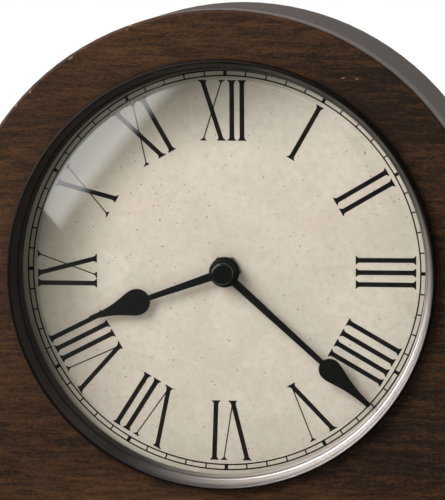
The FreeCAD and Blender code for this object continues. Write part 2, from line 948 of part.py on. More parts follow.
def make_seconds_wheel():
    back_deg = third_wheel_direction_deg + 180
    pinion_phase = mating_phase(back_deg, back_deg, third_wheel_teeth, seconds_pinion_teeth)
    end = seconds_wheel_at + wheel_thickness
    rear = centre_wheel_at + wheel_thickness
    start = rear - cannon_bore_depth + wheel_gap / 2
    arbor_end = movement_back_inside - running_clearance
    arbor = rod(seconds_arbor_radius, start, arbor_end)
    pinion = gear(
        seconds_pinion_teeth,
        seconds_module,
        pinion_phase,
        third_wheel_at - wheel_gap / 2,
        seconds_wheel_at,
    )
    wheel = gear(seconds_wheel_teeth, seconds_wheel_module, 0, seconds_wheel_at, end)
    return fused(arbor, pinion, wheel)


def knob_place():
    x, z = minute_wheel_place()
    dx, dz = polar(motion_distance, knob_direction_deg)
    return x + dx, z + dz


def make_set_knob():
    """The fluted knob at the back, with the pinion that turns the minute wheel."""
    x, z = knob_place()
    phase = mating_phase(
        knob_direction_deg, minute_wheel_phase(), minute_wheel_teeth, cannon_teeth
    )
    pinion_end = minute_wheel_at + wheel_thickness + wheel_gap / 2
    pivot = rod(knob_pivot_radius, movement_inside + running_clearance, pinion_end, x, z)
    pinion_start = minute_wheel_at - wheel_gap / 2
    pinion = gear(cannon_teeth, motion_module, phase, pinion_start, pinion_end, x, z)
    knob_start = movement_back + knob_lift
    shaft = rod(knob_shaft_radius, pinion_end, knob_start, x, z)
    head = rod(knob_radius, knob_start, knob_start + knob_thickness, x, z)
    for n in range(knob_flute_count):
        fx, fz = polar(knob_radius, n * 360 / knob_flute_count)
        flute = rod(
            knob_flute_radius,
            knob_start - overrun,
            knob_start + knob_thickness + overrun,
            x + fx,
            z + fz,
        )
        head = head.cut(flute)
    return fused(pivot, pinion, shaft, head)


def bay_half_height():
    return battery_radius + bay_clearance + bay_wall


def bay_z():
    """Height of the battery's axis against the dial axis."""
    return movement_wall + running_clearance + bay_half_height() - movement_width / 2


def bay_floor():
    return movement_inside + running_clearance + bay_wall


def battery_depth():
    return bay_floor() + bay_clearance / 2 + battery_radius


def bay_half_length():
    return movement_width / 2 - movement_wall - running_clearance - bay_end_wall


def movement_shell(start, end, wall_start, wall_end):
    """A square tray of the movement's case, hollow between two depths."""
    width = movement_width
    outer = rounded_block(width, width, movement_corner_radius, start, end, dial_z)
    inner_width = width - 2 * movement_wall
    inner_radius = movement_corner_radius - movement_wall
    inner = rounded_block(inner_width, inner_width, inner_radius, wall_start, wall_end, dial_z)
    return outer.cut(inner)


def shelf_span():
    """Heights of the shelf for the coil and the circuit board, from the ground."""
    top = dial_z + movement_width / 2 - movement_wall - board_shelf_margin / 2
    return top - board_shelf_width, top


def shelf_half_length():
    return movement_width / 2 - board_shelf_side


def make_movement_front():
    """The front half, with the posts for the wheels and the shelf for the electric parts."""
    shell = movement_shell(
        movement_front, movement_seam, movement_inside, movement_seam + overrun
    )
    shelf_low, shelf_high = shelf_span()
    half = shelf_half_length()
    end = movement_inside + board_shelf_height
    shelf = block(-half, half, movement_inside - movement_wall / 2, end, shelf_low, shelf_high)
    base = movement_inside - movement_wall / 2
    x, z = minute_wheel_place()
    minute_post = rod(post_radius, base, minute_wheel_at + wheel_thickness + wheel_gap / 2, x, z)
    tx, tz = third_wheel_place()
    third_shoulder = rod(post_shoulder_radius, base, centre_wheel_at - wheel_gap, tx, tz)
    third_end = third_wheel_at + wheel_thickness + wheel_gap / 2
    third_post = rod(post_radius / 2, base, third_end, tx, tz)
    kx, kz = knob_place()
    knob_boss = rod(
        knob_pivot_radius + knob_boss_wall, base, minute_wheel_at - wheel_gap, kx, kz
    )
    solid = fused(shell, shelf, minute_post, third_shoulder, third_post, knob_boss)
    pivot = knob_pivot_radius + running_clearance
    solid = solid.cut(rod(pivot, movement_inside, minute_wheel_at + overrun, kx, kz))
    hole = hour_pipe_radius + running_clearance
    return solid.cut(rod(hole, movement_front - overrun, movement_inside + overrun))


def make_movement_back():
    """The back half, with the battery bay let into it."""
    shell = movement_shell(
        movement_seam, movement_back, movement_seam - overrun, movement_back_inside
    )
    half_height = bay_half_height()
    middle = dial_z + bay_z()
    half_length = bay_half_length() + bay_end_wall
    trough = rounded_block(
        2 * half_length,
        2 * half_height,
        movement_corner_radius - movement_wall,
        movement_inside + running_clearance,
        movement_back,
        middle,
    )
    room = block(
        -bay_half_length(),
        bay_half_length(),
        bay_floor(),
        movement_back + overrun,
        middle - half_height + bay_wall,
        middle + half_height - bay_wall,
    )
    boss = rod(
        seconds_boss_radius, movement_back_inside - seconds_boss_length, movement_back_inside
    )
    solid = fused(shell, trough, boss).cut(room)
    bore = seconds_arbor_radius + running_clearance
    solid = solid.cut(
        rod(bore, movement_back_inside - seconds_boss_length - overrun, movement_back_inside)
    )
    kx, kz = knob_place()
    hole = knob_shaft_radius + running_clearance
    return solid.cut(rod(hole, movement_back_inside - overrun, movement_back + overrun, kx, kz))


def bar_along_x(radius, x0, x1, centre_depth, z):
    start = Vector(x0, depth(centre_depth), dial_z + z)
    return Part.makeCylinder(radius, x1 - x0, start, Vector(1, 0, 0))


def make_battery():
    half = (battery_length + battery_nub_length) / 2
    body = bar_along_x(battery_radius, -half, half - battery_nub_length, battery_depth(), bay_z())
    nub = bar_along_x(battery_nub_radius, 0, half, battery_depth(), bay_z())
    return fused(body, nub)


def make_battery_contacts():
    """Two strips in the ends of the bay, each with a round bump that presses on the battery."""
    contacts = []
    reach = bay_half_length()
    battery_end = (battery_length + battery_nub_length) / 2
    for side in (-1, 1):
        x0 = min(side * reach, side * (reach - contact_thickness))
        strip = block(
            x0,
            x0 + contact_thickness,
            battery_depth() - contact_width / 2,
            battery_depth() + contact_width / 2,
            dial_z + bay_z() - contact_width / 2,
            dial_z + bay_z() + contact_width / 2,
        )
        near = side * (battery_end + running_clearance)
        far = side * (reach - contact_thickness / 2)
        bump = bar_along_x(
            contact_bump_radius, min(near, far), max(near, far), battery_depth(), bay_z()
        )
        contacts.append(fused(strip, bump))
    return joined(contacts)


def make_circuit_board():
    low, high = shelf_span()
    start = movement_inside + board_shelf_height
    end = start + circuit_board_thickness
    right = shelf_half_length()
    left = right - circuit_board_length
    board = block(left, right, start, end, low, high)
    middle_x = (left + right) / 2
    middle_z = (low + high) / 2
    chip = block(
        middle_x - chip_size / 2,
        middle_x + chip_size / 2,
        end,
        end + chip_height,
        middle_z - chip_size / 2,
        middle_z + chip_size / 2,
    )
    return fused(board, chip)


def make_motor_stator():
    low, high = shelf_span()
    start = movement_inside + board_shelf_height
    left = -shelf_half_length()
    return block(left, left + stator_length, start, start + stator_thickness, low, high)


def make_motor_coil():
    low, high = shelf_span()
    start = movement_inside + board_shelf_height + stator_thickness
    centre = start + coil_flange_radius
    z = (low + high) / 2 - dial_z
    middle = -shelf_half_length() + stator_length / 2
    half = coil_length / 2
    winding = bar_along_x(coil_radius, middle - half, middle + half, centre, z)
    pieces = [winding]
    for side in (-1, 1):
        x = middle + side * half - coil_flange_thickness / 2
        x1 = x + coil_flange_thickness
        pieces.append(bar_along_x(coil_flange_radius, x, x1, centre, z))
    return fused(*pieces)


def make_back_door():
    width = opening_width - 2 * door_gap
    height = opening_height - 2 * door_gap
    solid = rounded_block(
        width, height, opening_corner_radius - door_gap, board_inside, board_outside, dial_z
    )
    for x, z in hinge_screw_places(-1):
        pilot = hinge_screw_radius + hole_clearance
        start = board_outside - hinge_screw_bite
        solid = solid.cut(rod(pilot, start, board_outside + overrun, x, z))
    stem = door_knob_stem_radius + hole_clearance
    return solid.cut(rod(stem, board_inside - overrun, board_outside + overrun, door_knob_x(), 0))


def hinge_x():
    return opening_width / 2 - door_gap / 2


def hinge_depth():
    return board_outside + knuckle_lift + knuckle_radius


def hinge_heights():
    return [side * hinge_spacing / 2 for side in (-1, 1)]


def hinge_screw_places(side):
    """Screw places of the case leaves (side 1) or the door leaves (side -1)."""
    x = hinge_x() + side * (hinge_leaf_width - hinge_screw_inset)
    return [
        (x, z + end * hinge_screw_spacing / 2) for z in hinge_heights() for end in (-1, 1)
    ]


def knuckle(z0, z1):
    base = Vector(hinge_x(), depth(hinge_depth()), dial_z + z0)
    return Part.makeCylinder(knuckle_radius, z1 - z0, base, up)


def make_leaves(side):
    """The two leaves on the case (side 1) or on the door (side -1)."""
    leaves = []
    third = hinge_length / 3
    screw_hole = hinge_screw_radius + hole_clearance
    for middle in hinge_heights():
        low = middle - hinge_length / 2
        high = middle + hinge_length / 2
        x = hinge_x()
        far = x + side * hinge_leaf_width
        leaf = block(
            min(x, far),
            max(x, far),
            board_outside,
            board_outside + hinge_leaf_thickness,
            dial_z + low,
            dial_z + high,
        )
        own = [(low, low + third), (high - third, high)]
        other = [(low + third, high - third)]
        if side < 0:
            own, other = other, own
        reach = knuckle_radius + knuckle_side_gap
        for z0, z1 in other:
            room = block(
                x - reach,
                x + reach,
                board_outside - overrun,
                board_outside + overrun,
                dial_z + z0 - knuckle_gap,
                dial_z + z1 + knuckle_gap,
            )
            leaf = leaf.cut(room)
        for z0, z1 in own:
            gap_low = 0 if z0 == low else knuckle_gap
            gap_high = 0 if z1 == high else knuckle_gap
            leaf = leaf.fuse(knuckle(z0 + gap_low, z1 - gap_high))
        bore = Part.makeCylinder(
            hinge_pin_radius + running_clearance,
            hinge_length + 2 * overrun,
            Vector(x, depth(hinge_depth()), dial_z + low - overrun),
            up,
        )
        leaf = leaf.removeSplitter().cut(bore)
        for sx, sz in hinge_screw_places(side):
            if low < sz < high:
                hole = rod(
                    screw_hole, board_outside - overrun, board_outside + overrun, sx, sz
                )
                leaf = leaf.cut(hole)
        leaves.append(leaf)
    return joined(leaves)


def make_hinge_pins():
    pins = []
    for middle in hinge_heights():
        low = middle - hinge_length / 2
        x = hinge_x()
        y = depth(hinge_depth())
        pin = Part.makeCylinder(hinge_pin_radius, hinge_length, Vector(x, y, dial_z + low), up)
        top = Vector(x, y, dial_z + middle + hinge_length / 2)
        head = Part.makeCylinder(hinge_pin_head_radius, hinge_pin_head_height, top, up)
        pins.append(fused(pin, head))
    return joined(pins)


def make_hinge_screws(side):
    screws = []
    leaf_top = board_outside + hinge_leaf_thickness
    for x, z in hinge_screw_places(side):
        start = board_outside - hinge_screw_bite + hole_clearance
        shank = rod(hinge_screw_radius, start, leaf_top, x, z)
        head = rod(hinge_screw_head_radius, leaf_top, leaf_top + hinge_screw_head_height, x, z)
        screws.append(fused(shank, head))
    return joined(screws)


def door_knob_x():
    return door_gap + door_knob_inset - opening_width / 2


def make_door_knob():
    """A turned knob: stem, collar, neck and a rounded head."""
    top = board_outside + door_knob_height
    collar_end = board_outside + door_knob_collar_height
    x = door_knob_x()
    stem = rod(door_knob_stem_radius, board_inside, collar_end, x, 0)
    collar = rod(door_knob_collar_radius, board_outside, collar_end, x, 0)
    neck = rod(door_knob_neck_radius, board_outside, top - door_knob_radius, x, 0)
    ball_centre = Vector(x, depth(top - door_knob_radius), dial_z)
    ball = Part.makeSphere(door_knob_radius, ball_centre)
    trim_depth = top - door_knob_flat_share * door_knob_radius
    trim = block(
        x - 2 * door_knob_radius,
        x + 2 * door_knob_radius,
        trim_depth,
        top + overrun,
        dial_z - 2 * door_knob_radius,
        dial_z + 2 * door_knob_radius,
    )
    under = block(
        x - 2 * door_knob_radius,
        x + 2 * door_knob_radius,
        board_outside - door_knob_radius,
        collar_end + door_knob_collar_height,
        dial_z - 2 * door_knob_radius,
        dial_z + 2 * door_knob_radius,
    )
    return fused(ball.cut(trim).cut(under), neck, collar, stem)


def make_door_magnet():
    """The magnet on the inside of the back board, which reaches behind the door's free edge."""
    edge = -opening_width / 2
    right = edge + magnet_overlap
    face = board_inside - strike_thickness - strike_gap
    body = block(
        right - magnet_width,
        right,
        face - magnet_thickness,
        face,
        dial_z - magnet_height / 2,
        dial_z + magnet_height / 2,
    )
    pad = block(
        right - magnet_width,
        edge - strike_edge_gap,
        face - magnet_thickness / 2,
        board_inside,
        dial_z - magnet_height / 2,
        dial_z + magnet_height / 2,
    )
    return fused(body, pad)


def make_strike_plate():
    left = door_gap + strike_edge_gap - opening_width / 2
    return block(
        left,
        left + strike_width,
        board_inside - strike_thickness,
        board_inside,
        dial_z - magnet_height / 2,
        dial_z + magnet_height / 2,
    )


parts = {
    "front_board": make_front_board(),
    "case_wrap": make_case_wrap(),
    "back_board": make_back_board(),
    "back_board_screws": make_board_screws(),
    "plinth": make_plinth(),
    "glue_blocks": make_glue_blocks(),
    "case_screws": make_case_screws(),
    "feet": make_feet(),
    "bezel_ring": make_bezel(),
    "glass": make_glass(),
    "glass_retainer": make_glass_retainer(),
    "dial_plate": make_dial_plate(),
    "dial_screws": make_dial_screws(),
    "hour_hand": make_hour_hand(),
    "minute_hand": make_minute_hand(),
    "hand_cap": make_hand_cap(),
    "threaded_bush": make_threaded_bush(),
    "flat_washer": make_flat_washer(),
    "hex_nut": make_hex_nut(),
    "rubber_washer": make_rubber_washer(),
    "movement_front": make_movement_front(),
    "movement_back": make_movement_back(),
    "centre_wheel": make_centre_wheel(),
    "hour_wheel": make_hour_wheel(),
    "minute_wheel": make_minute_wheel(),
    "third_wheel": make_third_wheel(),
    "seconds_wheel": make_seconds_wheel(),
    "set_knob": make_set_knob(),
    "battery": make_battery(),
    "battery_contacts": make_battery_contacts(),
    "circuit_board": make_circuit_board(),
    "motor_stator": make_motor_stator(),
    "motor_coil": make_motor_coil(),
    "back_door": make_back_door(),
    "hinge_case_leaves": make_leaves(1),
    "hinge_door_leaves": make_leaves(-1),
    "hinge_pins": make_hinge_pins(),
    "hinge_case_screws": make_hinge_screws(1),
    "hinge_door_screws": make_hinge_screws(-1),
    "door_knob": make_door_knob(),
    "door_magnet": make_door_magnet(),
    "strike_plate": make_strike_plate(),
}

os.makedirs("parts", exist_ok=True)
for name, shape in parts.items():
    shape.exportStep(os.path.join("parts", name + ".step"))
    print(name, len(shape.Solids), "solids, valid:", shape.isValid())
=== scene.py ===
# %% [markdown]
# # A tambour mantel clock
# The clock is a dark walnut case with a round arch, a pewter bezel, a domed glass, a printed cream
# dial and two black spade hands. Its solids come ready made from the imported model, in metres, with
# +Z up and the dial facing -Y. This lesson loads them, models what is printed or finely finished,
# and gives every surface a material.

# %% Load the solids
import math
from functools import cached_property

import bpy
from mathutils import Matrix, Vector


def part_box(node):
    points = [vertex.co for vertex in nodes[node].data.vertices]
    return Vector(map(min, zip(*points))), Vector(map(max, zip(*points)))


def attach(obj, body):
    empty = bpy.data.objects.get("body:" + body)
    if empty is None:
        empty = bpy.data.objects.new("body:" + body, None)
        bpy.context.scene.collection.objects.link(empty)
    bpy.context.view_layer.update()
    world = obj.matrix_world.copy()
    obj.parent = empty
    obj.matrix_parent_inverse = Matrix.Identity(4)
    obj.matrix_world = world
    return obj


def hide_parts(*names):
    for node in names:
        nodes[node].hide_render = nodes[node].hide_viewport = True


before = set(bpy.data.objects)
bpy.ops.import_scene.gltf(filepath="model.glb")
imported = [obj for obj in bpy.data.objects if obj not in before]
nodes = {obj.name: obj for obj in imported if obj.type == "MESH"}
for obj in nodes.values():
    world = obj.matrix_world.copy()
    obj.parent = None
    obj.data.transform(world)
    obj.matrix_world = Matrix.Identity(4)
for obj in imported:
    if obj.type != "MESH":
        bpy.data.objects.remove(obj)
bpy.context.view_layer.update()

for piece in bpy.context.selected_objects:
    piece.select_set(False)

# %% [markdown]
# Most places on the clock are told from the dial's axis, so it is read from the solids once: the
# middle of the threaded bush across and up, and the front face of the dial plate in depth. Lengths
# below are written in millimetres and multiplied by mm.

# %% Find the dial axis
mm = 0.001
per_metre = 1000
bush_low, bush_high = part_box("threaded_bush")
dial_low, dial_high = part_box("dial_plate")
axis_x = (bush_low.x + bush_high.x) / 2
axis_z = (bush_low.z + bush_high.z) / 2
dial_y = dial_low.y
print("dial axis at x", round(axis_x, 5), "z", round(axis_z, 5), "dial face at y", round(dial_y, 5))

# %% [markdown]
# The camera stands a little to the right of the dial axis and above it, and looks slightly left and
# down, as the photographer did. Its place was worked out from the sixty minute marks and the edges
# of the arch. The lens is long, so the round dial stays almost round.

# %% Set up the camera
camera_place = Vector((207.0, -1371.5, 300.95)) * mm
camera_yaw = math.radians(8.73)
camera_pitch = math.radians(6.53)
camera_roll = math.radians(-0.21)
camera_lens = 263.9
sensor_width = 36
clip_start = 0.05
clip_end = 50

view = Vector(
    (
        -math.sin(camera_yaw) * math.cos(camera_pitch),
        math.cos(camera_yaw) * math.cos(camera_pitch),
        -math.sin(camera_pitch),
    )
)
level = Vector((math.cos(camera_yaw), math.sin(camera_yaw), 0))
upward = level.cross(view)
right = level * math.cos(camera_roll) + upward * math.sin(camera_roll)
above = upward * math.cos(camera_roll) - level * math.sin(camera_roll)
bpy.ops.object.camera_add(location=camera_place)
camera = bpy.context.object
camera.name = "photographers_camera"
turn = Matrix((right, above, -view)).transposed()
camera.rotation_euler = turn.to_euler()
camera.data.lens = camera_lens
camera.data.sensor_width = sensor_width
camera.data.clip_start = clip_start
camera.data.clip_end = clip_end
camera.select_set(False)
bpy.context.scene.camera = camera
print("camera at", [round(v, 3) for v in camera.location], "lens", camera.data.lens)

# %% [markdown]
# A material is a tree of nodes. To read like maths, a small class wraps a socket and turns Python's
# operators into Math nodes, and a second class keeps one material's tree and adds any other node.
# Only what changes over the surface is linked, and everything that is the same all over is set on
# the shader itself.

# %% Make a class for sockets and one for finishes
class Channel:
    """An output socket of a finish. Its operators add Math nodes and give a new channel."""

    def __init__(self, finish, socket):
        self.finish = finish
        self.socket = socket

    def math(self, operation, *others):
        values = dict(enumerate((self, *others)))
        return self.finish.node("ShaderNodeMath", values, operation=operation)

    def __add__(self, other):
        return self.math("ADD", other)

    def __sub__(self, other):
        return self.math("SUBTRACT", other)

    def __mul__(self, other):
        return self.math("MULTIPLY", other)

    def __pow__(self, other):
        return self.math("POWER", other)

    def __radd__(self, other):
        return self + other

    def __rsub__(self, other):
        return self * -1 + other

    def above(self, level):
        return self.math("GREATER_THAN", level)

    def ramp(self, low, high):
        """0 below low, 1 above high and smooth between, or turned round if low is the larger."""
        first, last, start, end = (low, high, 0, 1) if low < high else (high, low, 1, 0)
        values = {"Value": self, "From Min": first, "From Max": last}
        values.update({"To Min": start, "To Max": end})
        return self.finish.node("ShaderNodeMapRange", values, interpolation_type="SMOOTHSTEP")


class Finish:
    """One material, or the world. Its methods add nodes and join them."""

    def __init__(self, name, kind="materials"):
        self.owner = getattr(bpy.data, kind).new(name)
        self.owner.use_nodes = True
        self.tree = self.owner.node_tree
        self.tree.nodes.clear()

    def node(self, kind, values, output=0, **settings):
        made = self.tree.nodes.new(kind)
        for key, value in settings.items():
            setattr(made, key, value)
        for key, value in values.items():
            self.feed(made.inputs[key], value)
        return Channel(self, made.outputs[output])

    def feed(self, socket, value):
        if isinstance(value, Channel):
            self.tree.links.new(value.socket, socket)
        else:
            socket.default_value = value

    def outputs(self, kind, values):
        """Every output of a new node, by its name."""
        made = self.node(kind, values).socket.node
        return {socket.name: Channel(self, socket) for socket in made.outputs}

    @cached_property
    def place(self):
        """The place in the shared frame, in metres."""
        return self.node("ShaderNodeTexCoord", {}, "Object")

    def mix(self, amount, first, second):
        values = {0: amount, 6: first, 7: second}
        return self.node("ShaderNodeMix", values, 2, data_type="RGBA")

    def layered(self, colour, *layers):
        """A colour with others laid over it. A layer is an amount and a colour."""
        for amount, tone in layers:
            colour = self.mix(amount, colour, tone)
        return colour

    def stretched(self, x, y, z):
        values = {0: self.place, 1: (x, y, z)}
        return self.node("ShaderNodeVectorMath", values, operation="MULTIPLY")

    def noise(self, vector, scale, detail=2.0, roughness=0.5, distortion=0.0):
        values = {"Vector": vector, "Scale": scale, "Detail": detail}
        values.update({"Roughness": roughness, "Distortion": distortion})
        return self.node("ShaderNodeTexNoise", values)

    def along(self, axis):
        """The place along X, Y or Z in the shared frame, in millimetres."""
        parts = self.outputs("ShaderNodeSeparateXYZ", {"Vector": self.place})
        return parts[axis] * per_metre

    def from_axis(self):
        """Distance from the dial axis, and the place across and up from it, in millimetres."""
        parts = self.outputs("ShaderNodeSeparateXYZ", {"Vector": self.place})
        across = (parts["X"] - axis_x) * per_metre
        rise = (parts["Z"] - axis_z) * per_metre
        distance = (across * across + rise * rise) ** 0.5
        return distance, across, rise

    def seen(self):
        """1 on rays from the camera, from a mirror or through glass, and 0 on all others."""
        rays = self.outputs("ShaderNodeLightPath", {})
        direct = rays["Is Camera Ray"].math("MAXIMUM", rays["Is Glossy Ray"])
        return direct.math("MAXIMUM", rays["Is Transmission Ray"])

    def bump(self, height, strength, distance):
        values = {"Height": height, "Strength": strength, "Distance": distance}
        return self.node("ShaderNodeBump", values)

    def close(self, shader, output="ShaderNodeOutputMaterial"):
        made = self.tree.nodes.new(output)
        self.feed(made.inputs["Surface"], shader)
        return self.owner

    def surface(self, colour, roughness, metallic=0.0, normal=None, coat=(0.0, 0.1), specular=0.5):
        """The finish all over. coat has the weight and the roughness of a clear coat."""
        values = {
            "Base Color": colour,
            "Roughness": roughness,
            "Metallic": metallic,
            "Coat Weight": coat[0],
            "Coat Roughness": coat[1],
            "Specular IOR Level": specular,
        }
        if normal is not None:
            values["Normal"] = normal
        return self.close(self.node("ShaderNodeBsdfPrincipled", values))


def srgb(red, green, blue):
    """A colour of the screen, 0 to 255, as the linear colour that a shader takes."""

    def linear(value):
        share = value / 255
        return share / 12.92 if share <= 0.04045 else ((share + 0.055) / 1.055) ** 2.4

    return (linear(red), linear(green), linear(blue), 1.0)


pure_white = (1, 1, 1, 1)
pure_black = (0, 0, 0, 1)
print("a screen colour of 128 grey is", [round(v, 3) for v in srgb(128, 128, 128)])

# %% [markdown]
# The same few steps come back for every piece that is modelled here, so they are helpers: a place
# is applied, a mesh is edited as a whole or in some of its parts, a section is spun round the
# dial's axis, pieces are joined into one, and a shape gets its finish. Points closer together than
# same_place are one point.

# %% Make helpers for modelling
same_place = 0.000001
hair = 0.01 * mm


def apply_place():
    """Applies the place, the turn and the size of what is selected."""
    bpy.ops.object.transform_apply(location=True, rotation=True, scale=True)


def edit_all():
    """Goes to edit mode with the whole mesh selected."""
    bpy.ops.object.mode_set(mode="EDIT")
    bpy.ops.mesh.select_all(action="SELECT")


def leave_edit():
    bpy.ops.object.mode_set(mode="OBJECT")


def pick(shape, kind, test):
    """Goes to edit mode with only the faces or the edges selected that pass a test."""
    mesh = shape.data
    for group in (mesh.vertices, mesh.edges, mesh.polygons):
        group.foreach_set("select", [False] * len(group))
    for part in getattr(mesh, kind):
        if test(part):
            part.select = True
            for n in part.vertices:
                mesh.vertices[n].select = True
    bpy.context.tool_settings.mesh_select_mode = (False, kind == "edges", kind == "polygons")
    bpy.context.view_layer.objects.active = shape
    bpy.ops.object.mode_set(mode="EDIT")


def spin_round(steps, reach):
    """Spins a section once round the dial's axis and merges the points within a reach."""
    centre = (axis_x, 0, axis_z)
    bpy.ops.mesh.spin(steps=steps, angle=2 * math.pi, center=centre, axis=(0, 1, 0))
    bpy.ops.mesh.select_all(action="SELECT")
    bpy.ops.mesh.remove_doubles(threshold=reach)


def join_pieces(pieces, name):
    """Joins pieces into the first of them, and names it."""
    for piece in pieces:
        piece.select_set(True)
    bpy.context.view_layer.objects.active = pieces[0]
    if len(pieces) > 1:
        bpy.ops.object.join()
    joined = bpy.context.view_layer.objects.active
    joined.name = name
    joined.select_set(False)
    return joined


def paint(shape, finish):
    """Gives a shape one finish and no other."""
    shape.data.materials.clear()
    shape.data.materials.append(finish)


print("points closer than", same_place, "m are one, and", hair, "m is a hair's breadth")

# %% [markdown]
# The photograph has a plain white background, and the clock stands on something pale. The world is
# white where the camera, a reflection or a view through glass meets it, and dimmer where it only
# lights the clock.

# %% Set up the world
fill_strength = 0.12
sky = Finish("studio", "worlds")
fill = sky.node("ShaderNodeBackground", {"Color": pure_white, "Strength": fill_strength})
white = sky.node("ShaderNodeBackground", {"Color": pure_white, "Strength": 1.0})
choice = sky.node("ShaderNodeMixShader", {0: sky.seen(), 1: fill, 2: white})
bpy.context.scene.world = sky.close(choice, "ShaderNodeOutputWorld")
bpy.context.scene.view_settings.view_transform = "Standard"
print("world nodes:", len(sky.tree.nodes))

# %% [markdown]
# The clock stands on pale paper. The paper keeps the clock's shadow, and becomes plain white
# further away, so that it meets the background without a line.

# %% Lay the paper
floor_size = 60
near_floor = 0.45
far_floor = 1.1
paper_colour = srgb(236, 235, 233)


def studio_paper():
    """Pale paper round the clock that keeps its shadow, and plain white further away."""
    finish = Finish("studio_paper")
    away = finish.node("ShaderNodeVectorMath", {0: finish.place}, 1, operation="LENGTH")
    paper = finish.node("ShaderNodeBsdfDiffuse", {"Color": paper_colour})
    bare = finish.node("ShaderNodeEmission", {"Color": pure_white, "Strength": 1.0})
    amount = away.ramp(near_floor, far_floor) * finish.seen()
    return finish.close(finish.node("ShaderNodeMixShader", {0: amount, 1: paper, 2: bare}))


bpy.ops.mesh.primitive_plane_add(size=floor_size, location=(0, 0, 0))
floor = bpy.context.object
floor.name = "studio_floor"
floor.data.materials.append(studio_paper())
floor.select_set(False)
print("floor size:", floor_size, "white beyond:", far_floor)

# %% [markdown]
# What the glass and the metal mirror is set out apart from the lamps. A black cloth lies on the
# table and hangs behind the camera, and keeps them dark. It is a plane whose far edge is extruded
# upwards, and only reflections see it.

# %% Hang the black cloth
cloth_width = 9.0
cloth_start = -0.06
cloth_end = -1.8
cloth_height = 3.4
cloth_lift = 0.002
cloth_middle = (cloth_start + cloth_end) / 2


def hide_but_mirror(piece):
    """Hides a piece of the studio from all but reflections."""
    piece.visible_camera = False
    piece.visible_diffuse = False
    piece.visible_shadow = False
    piece.visible_transmission = False


bpy.ops.mesh.primitive_plane_add(size=1, location=(0, cloth_middle, cloth_lift))
cloth = bpy.context.object
cloth.name = "black_cloth"
cloth.scale = (cloth_width, cloth_start - cloth_end, 1)
apply_place()
corners = cloth.data.vertices
pick(cloth, "edges", lambda edge: all(corners[n].co.y < cloth_middle for n in edge.vertices))
bpy.ops.mesh.extrude_edges_move(TRANSFORM_OT_translate={"value": (0, 0, cloth_height)})
leave_edit()
cloth.data.materials.append(Finish("black_cloth").surface(srgb(14, 14, 14), 1.0))
hide_but_mirror(cloth)
cloth.select_set(False)
print("cloth faces:", len(cloth.data.polygons))

# %% [markdown]
# A large soft lamp from the upper left gives the hands their shadows, a wide one in front fills
# them, and a third one lights the back. They light the clock and aren't seen in it. Each has its
# direction from the dial, its distance and its width in metres, and its power in watts.

# %% Set up the lamps
dial_middle = Vector((axis_x, dial_y, axis_z))
lamps = {
    "key_softbox": (Vector((-0.6, -0.72, 0.6)), 1.6, 1.05, 27.4),
    "fill_softbox": (Vector((0.35, -0.9, -0.02)), 2.0, 1.6, 7.2),
    "back_softbox": (Vector((0.45, 0.8, 0.55)), 2.2, 2.0, 60.0),
}
for name, (direction, distance, width, power) in lamps.items():
    bpy.ops.object.light_add(type="AREA", location=dial_middle + direction.normalized() * distance)
    lamp = bpy.context.object
    lamp.name = name
    lamp.data.shape = "DISK"
    lamp.data.size = width
    lamp.data.energy = power
    lamp.rotation_euler = (-direction).to_track_quat("-Z", "Y").to_euler()
    lamp.visible_glossy = False
    lamp.select_set(False)
print("lamps:", {name: power for name, (_, _, _, power) in lamps.items()})

# %% [markdown]
# Two white cards are there for the reflections. One makes the pale veil in the upper left of the
# glass, and the other the bright sheen along the lower right of the bezel. A card is flat, starts
# at a corner and goes along two sides, and its light fades towards the edge that it starts from.

# %% Set up the white cards
card_fade = 0.06
veil_strength = 3.4
veil_corner = Vector((-0.655, -1.0, 0.116))
veil_along = Vector((0.655, 0.0, 0.755)) * 0.95
veil_away = Vector((-0.755, 0.0, 0.655)) * 0.8
sheen_strength = 7.8
sheen_corner = Vector((-1.15, -0.95, 0.2))
sheen_along = Vector((0.63, 0.0, 0.9))
sheen_away = Vector((-0.25, 0.8, 0.25))


def glowing_card(name, strength, away, edge):
    """A white card that glows by itself, and whose glow fades towards its near edge."""
    finish = Finish(name)
    along = {0: finish.place, 1: away}
    reach = finish.node("ShaderNodeVectorMath", along, 1, operation="DOT_PRODUCT")
    colour = finish.mix(reach.ramp(edge, edge + card_fade), pure_black, pure_white)
    return finish.close(finish.node("ShaderNodeEmission", {"Color": colour, "Strength": strength}))


def white_card(name, corner, along, away, strength):
    """A flat card from a corner along two sides, that only reflections see."""
    bpy.ops.mesh.primitive_plane_add(size=2, location=(0, 0, 0))
    card = bpy.context.object
    card.name = name
    half_along = along / 2
    half_away = away / 2
    square = Matrix((half_along, half_away, along.cross(away).normalized())).transposed().to_4x4()
    card.matrix_world = Matrix.Translation(corner + half_along + half_away) @ square
    apply_place()
    outward = away.normalized()
    card.data.materials.append(glowing_card(name, strength, outward, corner.dot(outward)))
    hide_but_mirror(card)
    card.select_set(False)
    print(name, "corners:", [[round(c, 2) for c in v.co] for v in card.data.vertices])


white_card("veil_card", veil_corner, veil_along, veil_away, veil_strength)
white_card("sheen_card", sheen_corner, sheen_along, sheen_away, sheen_strength)
